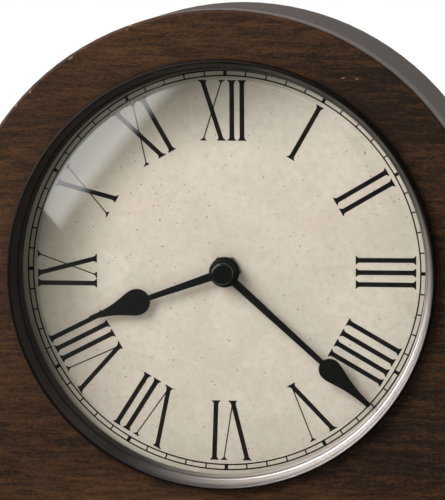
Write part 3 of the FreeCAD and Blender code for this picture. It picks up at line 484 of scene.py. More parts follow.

# %% [markdown]
# The front board and the plinth are solid walnut, stained almost to espresso. Walnut shows broad
# soft clouds, long wavy growth lines a millimetre or two apart, and short dark pores that follow
# the grain. All three are noises stretched along the grain, which runs across the clock. Painted
# light makes the wood paler towards the left, at the far right and low in the middle, which lifts
# the bezel's shadow below and at the right. A painted highlight runs along the top of the arch's
# edge. Years of handling left a few small scratches, so the front board takes a list of marks:
# each is a short stroke at its place across and up, with its length and width in millimetres, its
# slant in degrees and its colour. A layer of the grain has its stretch on each axis, its scale,
# and the noise's detail, roughness and distortion.

# %% Finish the walnut
dark_walnut = srgb(27, 19, 12)
warm_walnut = srgb(90, 59, 33)
red_walnut = srgb(70, 38, 25)
pore_colour = srgb(14, 9, 6)
bare_wood_and_highlight = srgb(168, 140, 116)
bruise = srgb(18, 12, 8)
edge_highlight_start = 101.5
edge_highlight_end = 102.3
edge_highlight_strength = 0.55
mark_strength = 0.45
across_grain = (0.12, 1.0, 1.0)
bent_grain = (0.3, 1.6, 0.3)
back_grain = (0.16, 1.0, 1.0)
grain_layers = {
    "clouds": ((2, 0.8, 0.8), 26, 3, 0.6, 0.6),
    "lines": ((1, 1, 1), 520, 5, 0.66, 0.6),
    "fleck": ((5, 1.3, 1.3), 1100, 3, 0.6, 0.0),
    "pores": ((2, 2, 2), 1500, 2, 0.5, 0.0),
}
front_marks = [
    (-70.3, 71.8, 2.2, 0.9, 52, bare_wood_and_highlight),
    (-71.9, 68.0, 1.6, 0.8, 60, bare_wood_and_highlight),
    (-56.2, 80.8, 2.0, 0.8, 38, bare_wood_and_highlight),
    (-33.7, 93.0, 1.8, 0.7, 20, bare_wood_and_highlight),
    (-77.3, 63.1, 1.4, 0.7, 65, bare_wood_and_highlight),
    (-32.6, 84.0, 2.0, 0.4, -35, bruise),
    (-29.8, 82.8, 1.6, 0.4, -12, bruise),
    (-35.0, 91.4, 0.8, 0.6, 0, bare_wood_and_highlight),
    (46.0, 74.0, 1.5, 0.6, 10, bare_wood_and_highlight),
    (51.2, 73.7, 1.1, 0.6, -15, bare_wood_and_highlight),
    (-76.4, 50.2, 7.5, 0.7, 22, bruise),
    (62.0, 66.0, 2.6, 0.5, -40, bruise),
]


def mark(across, rise, x, z, length, width, slant):
    """1 on a short straight mark at a place, at a slant in degrees, and 0 away from it."""
    c = math.cos(math.radians(slant))
    s = math.sin(math.radians(slant))
    along = (across - x) * c + (rise - z) * s
    beside = (rise - z) * c - (across - x) * s
    inside = along.math("ABSOLUTE").ramp(length / 2, length / 3)
    return inside * beside.math("ABSOLUTE").ramp(width / 2, width / 5)


def walnut(name, along, gloss, deepest=0.0, palest=1.0, specular=0.3, marks_and_highlight=()):
    """Stained walnut. along is the stretch of the figure on each axis, and marks_and_highlight has
    the marks; when given, a painted highlight is also laid along the top of the arch's edge.
    """
    finish = Finish(name)
    distance, across, rise = finish.from_axis()

    def layer(stretch, scale, detail, roughness, distortion):
        drawn = finish.stretched(*[a * b for a, b in zip(along, stretch)])
        return finish.noise(drawn, scale, detail, roughness, distortion)

    clouds, lines, fleck, pores = [layer(*settings) for settings in grain_layers.values()]
    blush = finish.noise(finish.place, 14, 2, 0.5)
    # Painted light: paler towards the left, at the far right and low in the middle, lifting the
    # bezel's shadow.
    low_lift = rise.ramp(-60, -95) * across.math("ABSOLUTE").ramp(100, 40)
    painted_lift = (rise * 0.1 - across).ramp(-140, 160) + low_lift * 1.1 + across.ramp(50, 110) * 0.55
    figure = lines.ramp(0.3, 0.7) * 0.38 + clouds.ramp(0.3, 0.7) * 0.2 + fleck.ramp(0.3, 0.7) * 0.28
    figure = (figure + painted_lift * 0.3).ramp(0.27, 1.3) * (palest - deepest) + deepest
    colour = finish.mix(figure, dark_walnut, warm_walnut)
    reddish = finish.mix(figure, dark_walnut, red_walnut)
    pore = pores.ramp(0.6, 0.7)
    layers = [(blush.ramp(0.45, 0.7) * 0.4, reddish), (pore * 0.45, pore_colour)]
    if marks_and_highlight:
        # A painted highlight along the top of the arch's edge, in the pale wood colour.
        edge = distance.ramp(edge_highlight_start, edge_highlight_end)
        edge = edge * distance.ramp(edge_highlight_end + 2, edge_highlight_end + 1)
        edge = edge * lines.ramp(0.35, 0.6) * rise.ramp(0, 30)
        layers.append((edge * edge_highlight_strength, bare_wood_and_highlight))
    for *stroke, tone in marks_and_highlight:
        layers.append((mark(across, rise, *stroke) * mark_strength, tone))
    colour = finish.layered(colour, *layers)
    roughness = 0.5 - figure * 0.1 + pore * 0.25
    normal = finish.bump(lines * 0.5 + fleck * 0.3 - pore, 0.25, 0.0003)
    return finish.surface(colour, roughness, normal=normal, coat=(gloss, 0.3), specular=specular)


walnut_front = walnut("walnut_board", across_grain, 0.0, specular=0.14, marks_and_highlight=front_marks)
walnut_plinth = walnut("walnut_plinth", across_grain, 0.0, specular=0.14)
walnut_wrap = walnut("walnut_wrap", bent_grain, 0.0, deepest=0.08, palest=0.37, specular=0.04)
print("walnut finishes:", walnut_front.name, walnut_plinth.name, walnut_wrap.name)

# %% [markdown]
# The bezel is spun metal with a satin pewter look. A lathe leaves fine rings round its axis, so its
# roughness and its bump follow the distance from that axis. Painted shade darkens the metal towards
# the upper left, and painted light leaves it brightest at the lower right. Painted shade also
# darkens its outer slope, and a painted contact shadow lies where the metal meets the wood. The
# colour is darker in the turned groove too.

# %% Finish the pewter bezel
pewter_colour = srgb(222, 213, 211)
pewter_shade = srgb(196, 186, 185)
dark_pewter = srgb(55, 52, 50)
seam_shade = srgb(34, 30, 28)
groove_radius = 77.2
groove_width = 0.45
lit_side = (0.7, -0.71)
lit_start = 24
lit_end = 88
bead_start = 78.3
bead_end = 79.3
seam_start = 79.75
seam_end = 80.2


def pewter():
    finish = Finish("pewter_spun")
    distance, across, rise = finish.from_axis()
    turned = distance * 0.6 + finish.along("Y")
    values = {"W": turned, "Scale": 5.0, "Detail": 3.0, "Roughness": 0.7}
    rings = finish.node("ShaderNodeTexNoise", values, noise_dimensions="1D")
    haze = finish.noise(finish.place, 60, 3)
    roughness = 0.3 + rings * 0.12 + haze * 0.06
    normal = finish.bump(rings, 1.0, 0.0002)
    colour = finish.mix(haze, pewter_colour, pewter_shade)
    # Painted light and shade: darker towards the upper left, brightest towards the lower right.
    towards = across * lit_side[0] + rise * lit_side[1] + haze * 8
    colour = finish.mix(towards.ramp(lit_start, lit_end), dark_pewter, colour)
    # Painted shade on the outer slope and a painted contact shadow at the wood; the turned groove is
    # darker too.
    groove = (distance - groove_radius).math("ABSOLUTE").ramp(groove_width, groove_width / 4)
    darkened = distance.ramp(bead_start, bead_end) * 0.72 + groove * 0.55
    seam = distance.ramp(seam_start, seam_end) * 0.9
    colour = finish.layered(colour, (darkened, dark_pewter), (seam, seam_shade))
    return finish.surface(colour, roughness, 1.0, normal)


pewter_finish = pewter()
print("bezel finish:", pewter_finish.name)

# %% [markdown]
# The dial glass is a thin dome. Light goes straight through it, and it mirrors more the more it is
# seen from the side. Mixing a clear shader and a mirror by Schlick's rule gives both: 4% of the
# light comes back where the glass faces the eye, and nearly all of it at a slant. The Fresnel node
# isn't used, because light doesn't bend in this thin glass, and inside it that node would turn back
# everything past 44 degrees and shade half the dial. The last few millimetres beside the rim mirror
# the dark lip of the bezel and not the window, so a mask by the distance from the axis holds the
# mirror back there.

# %% Finish the glass
facing_mirror = 0.04
glass_tint = (0.98, 0.985, 0.98, 1)
glass_roughness = 0.02
mirror_radius = 71.8
mirror_edge = 0.4
rim_mirror = 0.12


def dome_glass():
    finish = Finish("clear_dome")
    clear = finish.node("ShaderNodeBsdfTransparent", {"Color": glass_tint})
    values = {"Color": pure_white, "Roughness": glass_roughness}
    mirror = finish.node("ShaderNodeBsdfAnisotropic", values)
    slant = finish.node("ShaderNodeLayerWeight", {"Blend": 0.5}, 1)
    mirrored = slant ** 5 * (1 - facing_mirror) + facing_mirror
    distance = finish.from_axis()[0]
    domed = distance.ramp(mirror_radius + mirror_edge, mirror_radius)
    mirrored = mirrored * (domed * (1 - rim_mirror) + rim_mirror)
    return finish.close(finish.node("ShaderNodeMixShader", {0: mirrored, 1: clear, 2: mirror}))


glass_finish = dome_glass()
print("glass finish:", glass_finish.name)

# %% [markdown]
# The dial is printed to look like old parchment: cream, with soft pinkish and olive patches, a fine
# mottle and a few brown specks. Painted shade darkens it towards its edge all round, and further in
# and more at the upper left, where the bezel's lip shades it. Only the front of the plate is
# printed. Behind it is bare metal, told apart by its depth.

# %% Finish the dial
cream = srgb(224, 213, 199)
olive_cream = srgb(208, 200, 180)
pink_cream = srgb(219, 200, 188)
mottle_cream = srgb(196, 184, 164)
speck_brown = srgb(120, 84, 58)
rim_shade = srgb(150, 138, 118)
olive_shade = srgb(112, 106, 90)
plate_metal = srgb(182, 181, 178)
print_depth = 0.3
edge_start = 76.3
edge_end = 79.0
shade_towards = (-0.82, 0.57)
wide_shade_start = 42.0
wide_shade_end = 63.0
shade_start = 71.6
shade_end = 73.0


def parchment():
    finish = Finish("aged_parchment")
    patches = finish.noise(finish.place, 45, 4, 0.6, 0.8)
    blush = finish.noise(finish.stretched(1.0, 1.0, 1.3), 28, 3, 0.55, 0.5)
    mottle = finish.noise(finish.place, 420, 5, 0.7)
    specks = finish.noise(finish.place, 900, 1, 0.4)
    distance, across, rise = finish.from_axis()
    bare_back = finish.along("Y").above(dial_y / mm + print_depth)
    shaded_side = (across * shade_towards[0] + rise * shade_towards[1]).ramp(-6, 46)
    colour = finish.layered(
        cream,
        (patches.ramp(0.38, 0.66) * 0.7, olive_cream),
        (blush.ramp(0.45, 0.72) * 0.6, pink_cream),
        (mottle.ramp(0.35, 0.75) * 0.5, mottle_cream),
        (specks.ramp(0.73, 0.765) * 0.8, speck_brown),
        # Painted shade: darker towards the rim all round, and more towards the upper left under the
        # bezel's lip.
        (distance.ramp(edge_start, edge_end) * 0.5, rim_shade),
        (distance.ramp(wide_shade_start, wide_shade_end) * shaded_side * 0.6, olive_shade),
        (distance.ramp(shade_start, shade_end) * shaded_side * 0.55, olive_shade),
        (bare_back, plate_metal),
    )
    normal = finish.bump(mottle, 0.08, 0.0001)
    roughness = 0.6 + mottle * 0.1 - bare_back * 0.1
    return finish.surface(colour, roughness, bare_back * 0.5, normal)


dial_finish = parchment()
print("dial finish:", dial_finish.name)

# %% [markdown]
# The small parts share a few plainer finishes: printed ink, satin black paint on the hands, moulded
# black plastic, brass, steel, rubber, felt, copper wire and soft pine. Each still has the fine
# unevenness that the real one shows. A row has the colour and its shade on the screen, the
# roughness and its spread, how metallic it is, the scale of its grain and the relief. Where they
# aren't the usual ones, the depth of the relief in metres and the sheen follow.

# %% Finish the small parts
def even_finish(
    name, colour, shade, roughness, spread, metallic, grain, relief, depth=0.0001, specular=0.5
):
    """A fine grain moves the colour towards a shade, and the roughness by a spread."""
    finish = Finish(name)
    fine = finish.noise(finish.place, grain, 4, 0.6)
    wide = finish.noise(finish.place, grain / 12, 2, 0.5)
    tone = (fine * 0.6 + wide * 0.5).ramp(0.35, 0.75)
    tone = finish.mix(tone, srgb(*colour), srgb(*shade))
    uneven = roughness + (fine - 0.5) * spread
    normal = finish.bump(fine, relief, depth)
    return finish.surface(tone, uneven, metallic, normal, specular=specular)


small_finishes = {
    "dial_ink": ((12, 10, 9), (28, 24, 20), 0.6, 0.1, 0.0, 600, 0.02, 0.0001, 0.15),
    "hand_paint": ((8, 8, 8), (14, 13, 13), 0.45, 0.1, 0.0, 900, 0.02, 0.0001, 0.2),
    "cap_gloss": ((8, 8, 8), (13, 13, 13), 0.26, 0.05, 0.0, 900, 0.01),
    "blackened_steel": ((30, 29, 28), (46, 44, 42), 0.36, 0.15, 0.6, 700, 0.06),
    "movement_plastic": ((24, 24, 26), (34, 34, 36), 0.48, 0.12, 0.0, 1800, 0.15),
    "wheel_plastic": ((214, 208, 190), (198, 190, 170), 0.4, 0.1, 0.0, 900, 0.1),
    "brass": ((190, 150, 86), (170, 130, 72), 0.3, 0.15, 1.0, 260, 0.03),
    "screw_brass": ((150, 116, 64), (120, 92, 52), 0.32, 0.15, 1.0, 400, 0.03),
    "zinc_steel": ((176, 176, 176), (140, 142, 146), 0.3, 0.2, 1.0, 400, 0.08),
    "rubber": ((26, 26, 27), (38, 38, 38), 0.75, 0.15, 0.0, 900, 0.2),
    "felt_pad": ((58, 50, 44), (34, 29, 26), 0.95, 0.05, 0.0, 2200, 0.8, 0.0004),
    "copper_wire": ((190, 104, 62), (140, 70, 40), 0.3, 0.1, 1.0, 500, 0.1),
    "board_green": ((26, 84, 52), (18, 60, 38), 0.4, 0.1, 0.0, 500, 0.1),
    "magnet_case": ((96, 72, 54), (76, 56, 42), 0.5, 0.1, 0.0, 500, 0.1),
    "pine_block": ((206, 172, 124), (180, 142, 94), 0.7, 0.1, 0.0, 200, 0.2),
    "sign_paint": ((150, 150, 148), (118, 118, 116), 0.5, 0.1, 0.0, 900, 0.1),
}
small = {name: even_finish(name, *values) for name, values in small_finishes.items()}
wrap_blue = srgb(34, 60, 110)
wrap_silver = srgb(176, 178, 182)
cell_steel = srgb(190, 190, 188)
positive_end = 23.8
negative_end = -24.8
band_start = 13.0


def battery_jacket():
    """The printed sleeve of the cell, with a silver band, and its bare steel ends."""
    finish = Finish("battery_wrap")
    x = finish.along("X")
    fine = finish.noise(finish.place, 300, 4, 0.6)
    steel_end = x.above(positive_end) + x.math("LESS_THAN", negative_end)
    band = x.above(band_start)
    colour = finish.layered(wrap_blue, (band, wrap_silver), (steel_end, cell_steel))
    return finish.surface(colour, 0.26 + fine * 0.08, steel_end, finish.bump(fine, 0.05, 0.0001))


battery_wrap = battery_jacket()
panel = walnut("back_panel", back_grain, 0.05)
print("small finishes made:", len(bpy.data.materials))

# %% [markdown]
# Every solid keeps its own mesh and takes the finish of the real piece. Those that no group names
# are steel.

# %% Dress the solids
groups = (
    (walnut_front, "front_board"),
    (walnut_wrap, "case_wrap"),
    (walnut_plinth, "plinth"),
    (panel, "back_board back_door"),
    (small["pine_block"], "glue_blocks"),
    (small["felt_pad"], "feet"),
    (dial_finish, "dial_plate"),
    (small["hand_paint"], "hour_hand minute_hand"),
    (small["brass"], "threaded_bush flat_washer door_knob"),
    (small["brass"], "hinge_case_leaves hinge_door_leaves hinge_pins"),
    (small["blackened_steel"], "hex_nut"),
    (small["rubber"], "rubber_washer"),
    (small["movement_plastic"], "glass_retainer movement_front movement_back set_knob"),
    (small["wheel_plastic"], "centre_wheel hour_wheel minute_wheel third_wheel seconds_wheel"),
    (battery_wrap, "battery"),
    (small["board_green"], "circuit_board"),
    (small["copper_wire"], "motor_coil"),
    (small["magnet_case"], "door_magnet"),
)
finishes = {node: finish for finish, group in groups for node in group.split()}
for name, piece in nodes.items():
    finish = finishes.get(name, small["zinc_steel"])
    for n in range(max(1, len(piece.data.materials))):
        if n < len(piece.data.materials):
            piece.data.materials[n] = finish
        else:
            piece.data.materials.append(finish)
print("solids dressed:", len(nodes), "of which in steel:", len(set(nodes) - set(finishes)))

# %% [markdown]
# What is printed or moulded flat is drawn as a closed curve in the ground plane, filled, given its
# thickness and made a mesh. Then it is stood up in its place.

# %% Make helpers for flat shapes
ink_film = 0.03


def closed_curve(name, outlines):
    """Closed outlines in the ground plane as one curve, selected. The points are in millimetres."""
    curve = bpy.data.curves.new(name, "CURVE")
    for outline in outlines:
        spline = curve.splines.new("POLY")
        spline.points.add(len(outline) - 1)
        for point, (x, y) in zip(spline.points, outline):
            point.co = (x * mm, y * mm, 0, 1)
        spline.use_cyclic_u = True
    shape = bpy.data.objects.new(name, curve)
    bpy.context.collection.objects.link(shape)
    bpy.context.view_layer.objects.active = shape
    shape.select_set(True)
    return shape


def flat_shape(name, outlines, thickness=ink_film):
    """Closed outlines in the ground plane, filled and made a mesh with a thickness."""
    curve = closed_curve(name, outlines).data
    curve.dimensions = "2D"
    curve.fill_mode = "BOTH"
    curve.extrude = thickness * mm / 2
    bpy.ops.object.convert(target="MESH")
    return bpy.context.object


def close_shape(shape):
    """Applies the place of a selected shape, merges its doubles and turns its faces outwards."""
    apply_place()
    edit_all()
    bpy.ops.mesh.remove_doubles(threshold=same_place)
    bpy.ops.mesh.normals_make_consistent(inside=False)
    leave_edit()
    shape.select_set(False)


def stand_on_dial(shape, clock_angle=0.0, depth=dial_y - ink_film * mm / 2):
    """Stands a flat shape up to face the viewer, at a clock angle and a depth."""
    shape.matrix_world = (
        Matrix.Translation((axis_x, depth, axis_z))
        @ Matrix.Rotation(clock_angle, 4, "Y")
        @ Matrix.Rotation(math.radians(90), 4, "X")
    )
    close_shape(shape)


def print_on_dial(shape):
    paint(shape, small["dial_ink"])
    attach(shape, "case")


print("the film of ink is", ink_film, "mm thick")

# %% [markdown]
# The dial's numerals are printed. Each is a set of strokes: a thick or a thin bar that flares into
# a flat serif at one end or both. foot and head say where its ends lie beside the numeral's own
# middle line, so a slanting stroke of a V or an X is the same shape, sheared.

# %% Print the numerals
numeral_foot = 49.3
numeral_head = 72.1
thick = 1.8
thin = 0.46
thick_serif = 3.4
thin_serif = 2.5
serif_thickness = 0.35
serif_bracket = 1.0

numerals = {
    1: [(0.0, -0.1)],
    2: [(-2.43, -2.6), (2.2, 2.05)],
    3: [(-4.83, -5.0), (-0.2, -0.3), (4.3, 4.25)],
    4: [(-7.15, -7.3), (-2.43, -2.57), (2.0, 1.95), (6.45, 6.35)],
    5: [(0.0, -5.7), (-0.1, 3.27, "thin_joined")],
    6: [(-2.43, -8.1), (-2.6, 0.98, "thin_joined"), (3.8, 4.6)],
    7: [(-3.3, -10.8), (-3.6, -1.42, "thin_joined"), (1.82, 2.75), (6.13, 7.1)],
    8: [(-4.62, -12.0), (-4.9, -2.58, "thin_joined"), (0.61, 1.68), (4.8, 5.97), (9.13, 10.37)],
    9: [(-5.33, -5.42), (4.28, -1.75), (-2.24, 5.83, "thin")],
    10: [(2.56, -3.6), (-4.5, 3.84, "thin")],
    11: [(0.94, -6.37), (-6.13, 1.0, "thin"), (5.14, 5.15)],
    12: [(-1.29, -8.69), (-8.4, -1.28, "thin"), (2.53, 2.5), (6.39, 6.33)],
}


def stroke_outline(foot, head, kind="thick"):
    """Corners of a stroke, going round it, as (across, reach) in millimetres."""
    length = numeral_head - numeral_foot
    width = thick if kind == "thick" else thin
    serif = thick_serif if kind == "thick" else thin_serif
    half = width / 2
    flare = serif / 2
    top = [(flare, length), (flare * 0.96, length - serif_thickness)]
    top += [(half + (flare - half) * 0.3, length - serif_thickness - serif_bracket * 0.35)]
    top += [(half, length - serif_thickness - serif_bracket)]
    bottom = [(x, length - reach) for x, reach in reversed(top)]
    if kind == "thin_joined":
        bottom = [(half, serif_bracket)]
    right_side = top + bottom
    outline = right_side + [(-x, reach) for x, reach in reversed(right_side)]
    lean = (head - foot) / length
    return [(x + foot + lean * reach, numeral_foot + reach) for x, reach in outline]


for hour, strokes in numerals.items():
    pieces = []
    for ends in strokes:
        stroke = flat_shape("stroke", [stroke_outline(*ends)])
        stand_on_dial(stroke, math.radians(30 * hour))
        pieces.append(stroke)
    print_on_dial(join_pieces(pieces, f"numeral_{hour:02d}"))
print("numerals printed:", len(numerals))

# %% [markdown]
# The minute track is two thin rings with sixty marks between them, and every fifth mark is a solid
# block.

# %% Print the minute track
track_inner = 73.83
track_outer = 75.8
track_line = 0.55
mark_width = 0.55
block_width = 1.35


def ring_outline(radius, steps=192):
    return [
        (radius * math.sin(2 * math.pi * n / steps), radius * math.cos(2 * math.pi * n / steps))
        for n in range(steps)
    ]


def mark_outline(minute):
    half = (block_width if minute % 5 == 0 else mark_width) / 2
    angle = math.radians(6 * minute)
    s = math.sin(angle)
    c = math.cos(angle)
    corners = ((-half, track_inner), (half, track_inner), (half, track_outer), (-half, track_outer))
    return [(x * c + y * s, y * c - x * s) for x, y in corners]


track_pieces = []
for radius in (track_inner, track_outer):
    lines = [ring_outline(radius - track_line / 2), ring_outline(radius + track_line / 2)]
    ring = flat_shape("track_ring", lines)
    stand_on_dial(ring)
    track_pieces.append(ring)
marks = flat_shape("track_marks", [mark_outline(minute) for minute in range(60)])
stand_on_dial(marks)
track_pieces.append(marks)
track = join_pieces(track_pieces, "minute_track")
print_on_dial(track)
print("minute track faces:", len(track.data.polygons))

# %% [markdown]
# The bosses of both hands have rolled rims, which catch the light as thin arcs round the axis. A
# rim is a small rectangle beside the axis with its corners bevelled round, spun once round the
# dial's axis. The spin closes on itself, so its doubles are merged before its faces are turned
# outwards.

# %% Roll the rims of the bosses
rim_steps = 96
rim_corner_steps = 5


def rolled_rim(name, inner, outer, front, back, corner, body, finish, slot):
    """A ring round the dial's axis, with rounded outer corners, that rides with a hand."""
    bpy.ops.mesh.primitive_plane_add(size=1, location=(0, 0, 0))
    rim = bpy.context.object
    rim.name = name
    middle = axis_x + (inner + outer) / 2 * mm
    rim.scale = ((outer - inner) * mm, (back - front) * mm, 1)
    rim.location = (middle, (front + back) / 2 * mm, axis_z)
    apply_place()
    rim.data.polygons[0].select = False
    for vertex in rim.data.vertices:
        vertex.select = vertex.co.x > middle
    bpy.ops.object.mode_set(mode="EDIT")
    bpy.ops.mesh.select_mode(type="VERT")
    round_off = {"offset": corner * mm, "segments": rim_corner_steps}
    bpy.ops.mesh.bevel(**round_off, affect="VERTICES", clamp_overlap=True)
    bpy.ops.mesh.select_all(action="SELECT")
    spin_round(rim_steps, 5 * same_place)
    bpy.ops.mesh.select_all(action="DESELECT")
    bpy.ops.mesh.select_interior_faces()
    bpy.ops.mesh.delete(type="FACE")
    bpy.ops.mesh.select_all(action="SELECT")
    bpy.ops.mesh.normals_make_consistent(inside=False)
    leave_edit()
    bpy.ops.object.shade_smooth_by_angle(angle=math.radians(35))
    rim.select_set(False)
    paint(rim, finish)
    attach(rim, body)
    print(name, "faces:", len(rim.data.polygons))


hour_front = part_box("hour_hand")[0].y / mm
hour_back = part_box("hour_hand")[1].y / mm
minute_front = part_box("minute_hand")[0].y / mm
minute_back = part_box("minute_hand")[1].y / mm
rims = {
    "hour_boss_rim": (5.3, 5.75, hour_front, hour_back, 0.3, "hour_hand_train"),
    "minute_boss_rim": (4.7, 4.9, minute_front, minute_back, 0.18, "minute_hand_train"),
}
for name, sizes_and_body in rims.items():
    rolled_rim(name, *sizes_and_body, small["cap_gloss"], "hand_black")

# %% [markdown]
# The stem of each hand is a strip folded round the flat blade for stiffness. It is widest at the
# boss and tapers towards the spade. It is drawn as a flat outline, given a little more thickness
# than the blade, turned to the hand's own angle, and its long edges are rounded. The blade's depth
# is read from its points away from the boss.

# %% Fold the stems of the hands
fold = 0.04
fold_round = 0.12
blade_start = 15.0


def blade_depths(node):
    """Front and back of a hand's blade, in metres."""
    points = [v.co for v in bpy.data.objects[node].data.vertices]
    depths = [p.y for p in points if math.hypot(p.x - axis_x, p.z - axis_z) > blade_start * mm]
    return min(depths), max(depths)


def folded_stem(name, node, body, angle_deg, foot, head):
    """A tapered strip on a hand's stem. foot and head have the distance and the half width."""
    front, back = blade_depths(node)
    start, foot_half = foot
    end, head_half = head
    corners = [(-foot_half, start), (foot_half, start), (head_half, end), (-head_half, end)]
    stem = flat_shape(name, [corners], (back - front) / mm + 2 * fold)
    edit_all()
    bpy.ops.mesh.remove_doubles(threshold=same_place)
    bpy.ops.mesh.dissolve_limited(angle_limit=math.radians(1))
    bpy.ops.mesh.select_all(action="SELECT")
    bpy.ops.mesh.bevel(offset=fold_round * mm, segments=2, affect="EDGES")
    leave_edit()
    stand_on_dial(stem, math.radians(angle_deg), (front + back) / 2)
    stem.name = name
    paint(stem, small["hand_paint"])
    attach(stem, body)
    print(name, "faces:", len(stem.data.polygons))


folded_stem("hour_stem", "hour_hand", "hour_hand_train", 250.5, (4.9, 1.575), (31.0, 1.025))
folded_stem("minute_stem", "minute_hand", "minute_hand_train", 132.0, (4.2, 1.525), (50.2, 1.025))

# %% [markdown]
# The bezel is spun from one piece of metal: a lip over the glass, a sloping funnel with a turned
# groove, a round bead at its crest, a skirt down to the wood and a tube through the board. It
# catches the light all the way round, so it is modelled anew with an even shading that the solid's
# triangles don't give. Its section is drawn once as a closed curve beside the axis, made a mesh and
# spun round, and its sharp corners are kept by their angle.

# %% Spin the bezel
bezel_low, bezel_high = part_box("bezel_ring")
board_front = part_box("front_board")[0].y / mm
skirt_wall = 0.9
funnel_width = 3.6
tube_inset = 1.4
lip_depth = 4.46
lip_thickness = 0.54
skirt_radius = (bezel_high.x - bezel_low.x) / 2 / mm
crest_radius = skirt_radius - skirt_wall
bead_radius = 0.7
bead_steps = 16
crest_y = bezel_low.y / mm
bead_y = crest_y + bead_radius
lip_radius = crest_radius - funnel_width
lip_front = board_front + lip_depth
lip_back = lip_front + lip_thickness
tube_radius = crest_radius - tube_inset
tube_wall = 0.6
tube_end = bezel_high.y / mm
groove_share = 0.33
groove_long = 0.75
groove_deep = 0.35
spin_steps = 216


def bezel_section():
    """Corners of the bezel's section, going round it: distance from the axis, and y."""
    slope = (crest_radius - bead_radius - lip_radius) / (lip_front - bead_y)
    groove_start = lip_front + groove_share * (crest_y - lip_front)
    groove_end = groove_start - groove_long

    def funnel(y):
        return lip_radius + slope * (lip_front - y)

    angles = [math.pi * n / bead_steps for n in range(bead_steps + 1)]
    bead = [
        (crest_radius - bead_radius * math.cos(angle), bead_y - bead_radius * math.sin(angle))
        for angle in angles
    ]
    return [
        (lip_radius, lip_front),
        (funnel(groove_start), groove_start),
        (funnel(groove_start) + groove_deep, groove_start - groove_deep / 2),
        (funnel(groove_end) + groove_deep, groove_end + groove_deep / 2),
        (funnel(groove_end), groove_end),
        *bead,
        (skirt_radius, bead_y + bead_radius),
        (skirt_radius, board_front),
        (tube_radius, board_front),
        (tube_radius, tube_end),
        (tube_radius - tube_wall, tube_end),
        (tube_radius - tube_wall, lip_back),
        (lip_radius, lip_back),
    ]


def spun_ring(name, corners, smooth_angle):
    """A closed section beside the dial's axis, spun once round it. Corners in millimetres."""
    ring = closed_curve(name, [corners])
    ring.location = (axis_x, 0, axis_z)
    bpy.ops.object.convert(target="MESH")
    ring = bpy.context.object
    apply_place()
    edit_all()
    spin_round(spin_steps, 2 * same_place)
    bpy.ops.mesh.normals_make_consistent(inside=False)
    leave_edit()
    bpy.ops.object.shade_smooth_by_angle(angle=smooth_angle)
    ring.select_set(False)
    return ring


bezel = spun_ring("spun_bezel", bezel_section(), math.radians(14))
paint(bezel, pewter_finish)
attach(bezel, "case")
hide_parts("bezel_ring")
bezel_x = [vertex.co.x for vertex in bezel.data.vertices]
print("bezel faces:", len(bezel.data.polygons), "width", round(max(bezel_x) - min(bezel_x), 5))

# %% [markdown]
# The dome of the glass is blown, and its rim is flat so that the bezel can hold it. A mirror shows
# the smallest kink of a surface, and the triangles of the solid meet in one point at the middle, so
# the glass is modelled anew. A large sphere is cut by a plane, which leaves a shallow dome with
# even rings. Its edge is extruded outwards into the rim, and Solidify gives the glass its
# thickness.

# %% Blow the glass dome
glass_low, glass_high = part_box("glass")
glass_radius = (glass_high.x - glass_low.x) / 2
glass_wall = 1.8 * mm
glass_rim = 1.8 * mm
land = glass_radius - glass_rim
apex = glass_low.y
dome_height = glass_high.y - glass_wall - apex
ball = (land**2 + dome_height**2) / (2 * dome_height)
bpy.ops.mesh.primitive_uv_sphere_add(
    segments=144,
    ring_count=240,
    radius=ball,
    location=(axis_x, apex + ball, axis_z),
    rotation=(math.radians(90), 0, 0),
)
dome = bpy.context.object
dome.name = "glass_dome"
apply_place()
rim_middle = (axis_x, apex + dome_height, axis_z)
edit_all()
bpy.ops.mesh.bisect(plane_co=rim_middle, plane_no=(0, 1, 0), clear_outer=True)
bpy.ops.mesh.extrude_edges_move()
widen = glass_radius / land
bpy.ops.transform.resize(value=(widen, 1, widen), center_override=rim_middle)
leave_edit()
wall = dome.modifiers.new("wall", "SOLIDIFY")
wall.thickness = glass_wall
wall.offset = -1
wall.use_even_offset = True
bpy.ops.object.modifier_apply(modifier="wall")
bpy.ops.object.shade_smooth_by_angle(angle=math.radians(8))
dome.select_set(False)
paint(dome, glass_finish)
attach(dome, "case")
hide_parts("glass")
dome_y = [vertex.co.y for vertex in dome.data.vertices]
depth_range = [round(min(dome_y), 5), round(max(dome_y), 5)]
print("glass dome faces:", len(dome.data.polygons), "y from and to:", depth_range)

# %% [markdown]
# A small round cap closes the end of the arbor in front of the minute hand. It's turned, with a
# rounded front edge that shows as a bright arc. A cylinder gets its front rim bevelled, and then a
# narrow inset keeps the front flat, so that the shading of the rounded edge doesn't spread over it.
# It replaces the plain cap of the solids.

# %% Turn the hand cap
cap_radius = 4.15
cap_round = 1.0
cap_flat_inset = 0.12

cap_low, cap_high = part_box("hand_cap")
cap_front, cap_back = cap_low.y, cap_high.y
bpy.ops.mesh.primitive_cylinder_add(
    vertices=96,
    radius=cap_radius * mm,
    depth=cap_back - cap_front,
    location=(axis_x, (cap_front + cap_back) / 2, axis_z),
    rotation=(math.radians(90), 0, 0),
)
cap = bpy.context.object
cap.name = "turned_cap"
apply_place()
front_limit = cap_front + hair
pick(cap, "edges", lambda edge: all(cap.data.vertices[n].co.y < front_limit for n in edge.vertices))
bpy.ops.mesh.bevel(offset=cap_round * mm, segments=10, affect="EDGES")
leave_edit()
pick(cap, "polygons", lambda face: face.normal.y < -0.999 and len(face.vertices) > 4)
bpy.ops.mesh.inset(thickness=cap_flat_inset * mm)
leave_edit()
bpy.ops.object.shade_smooth_by_angle(angle=math.radians(35))
cap.select_set(False)
paint(cap, small["cap_gloss"])
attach(cap, "minute_hand_train")
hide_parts("hand_cap")
print("turned cap faces:", len(cap.data.polygons), "front at y", round(cap_front, 5))

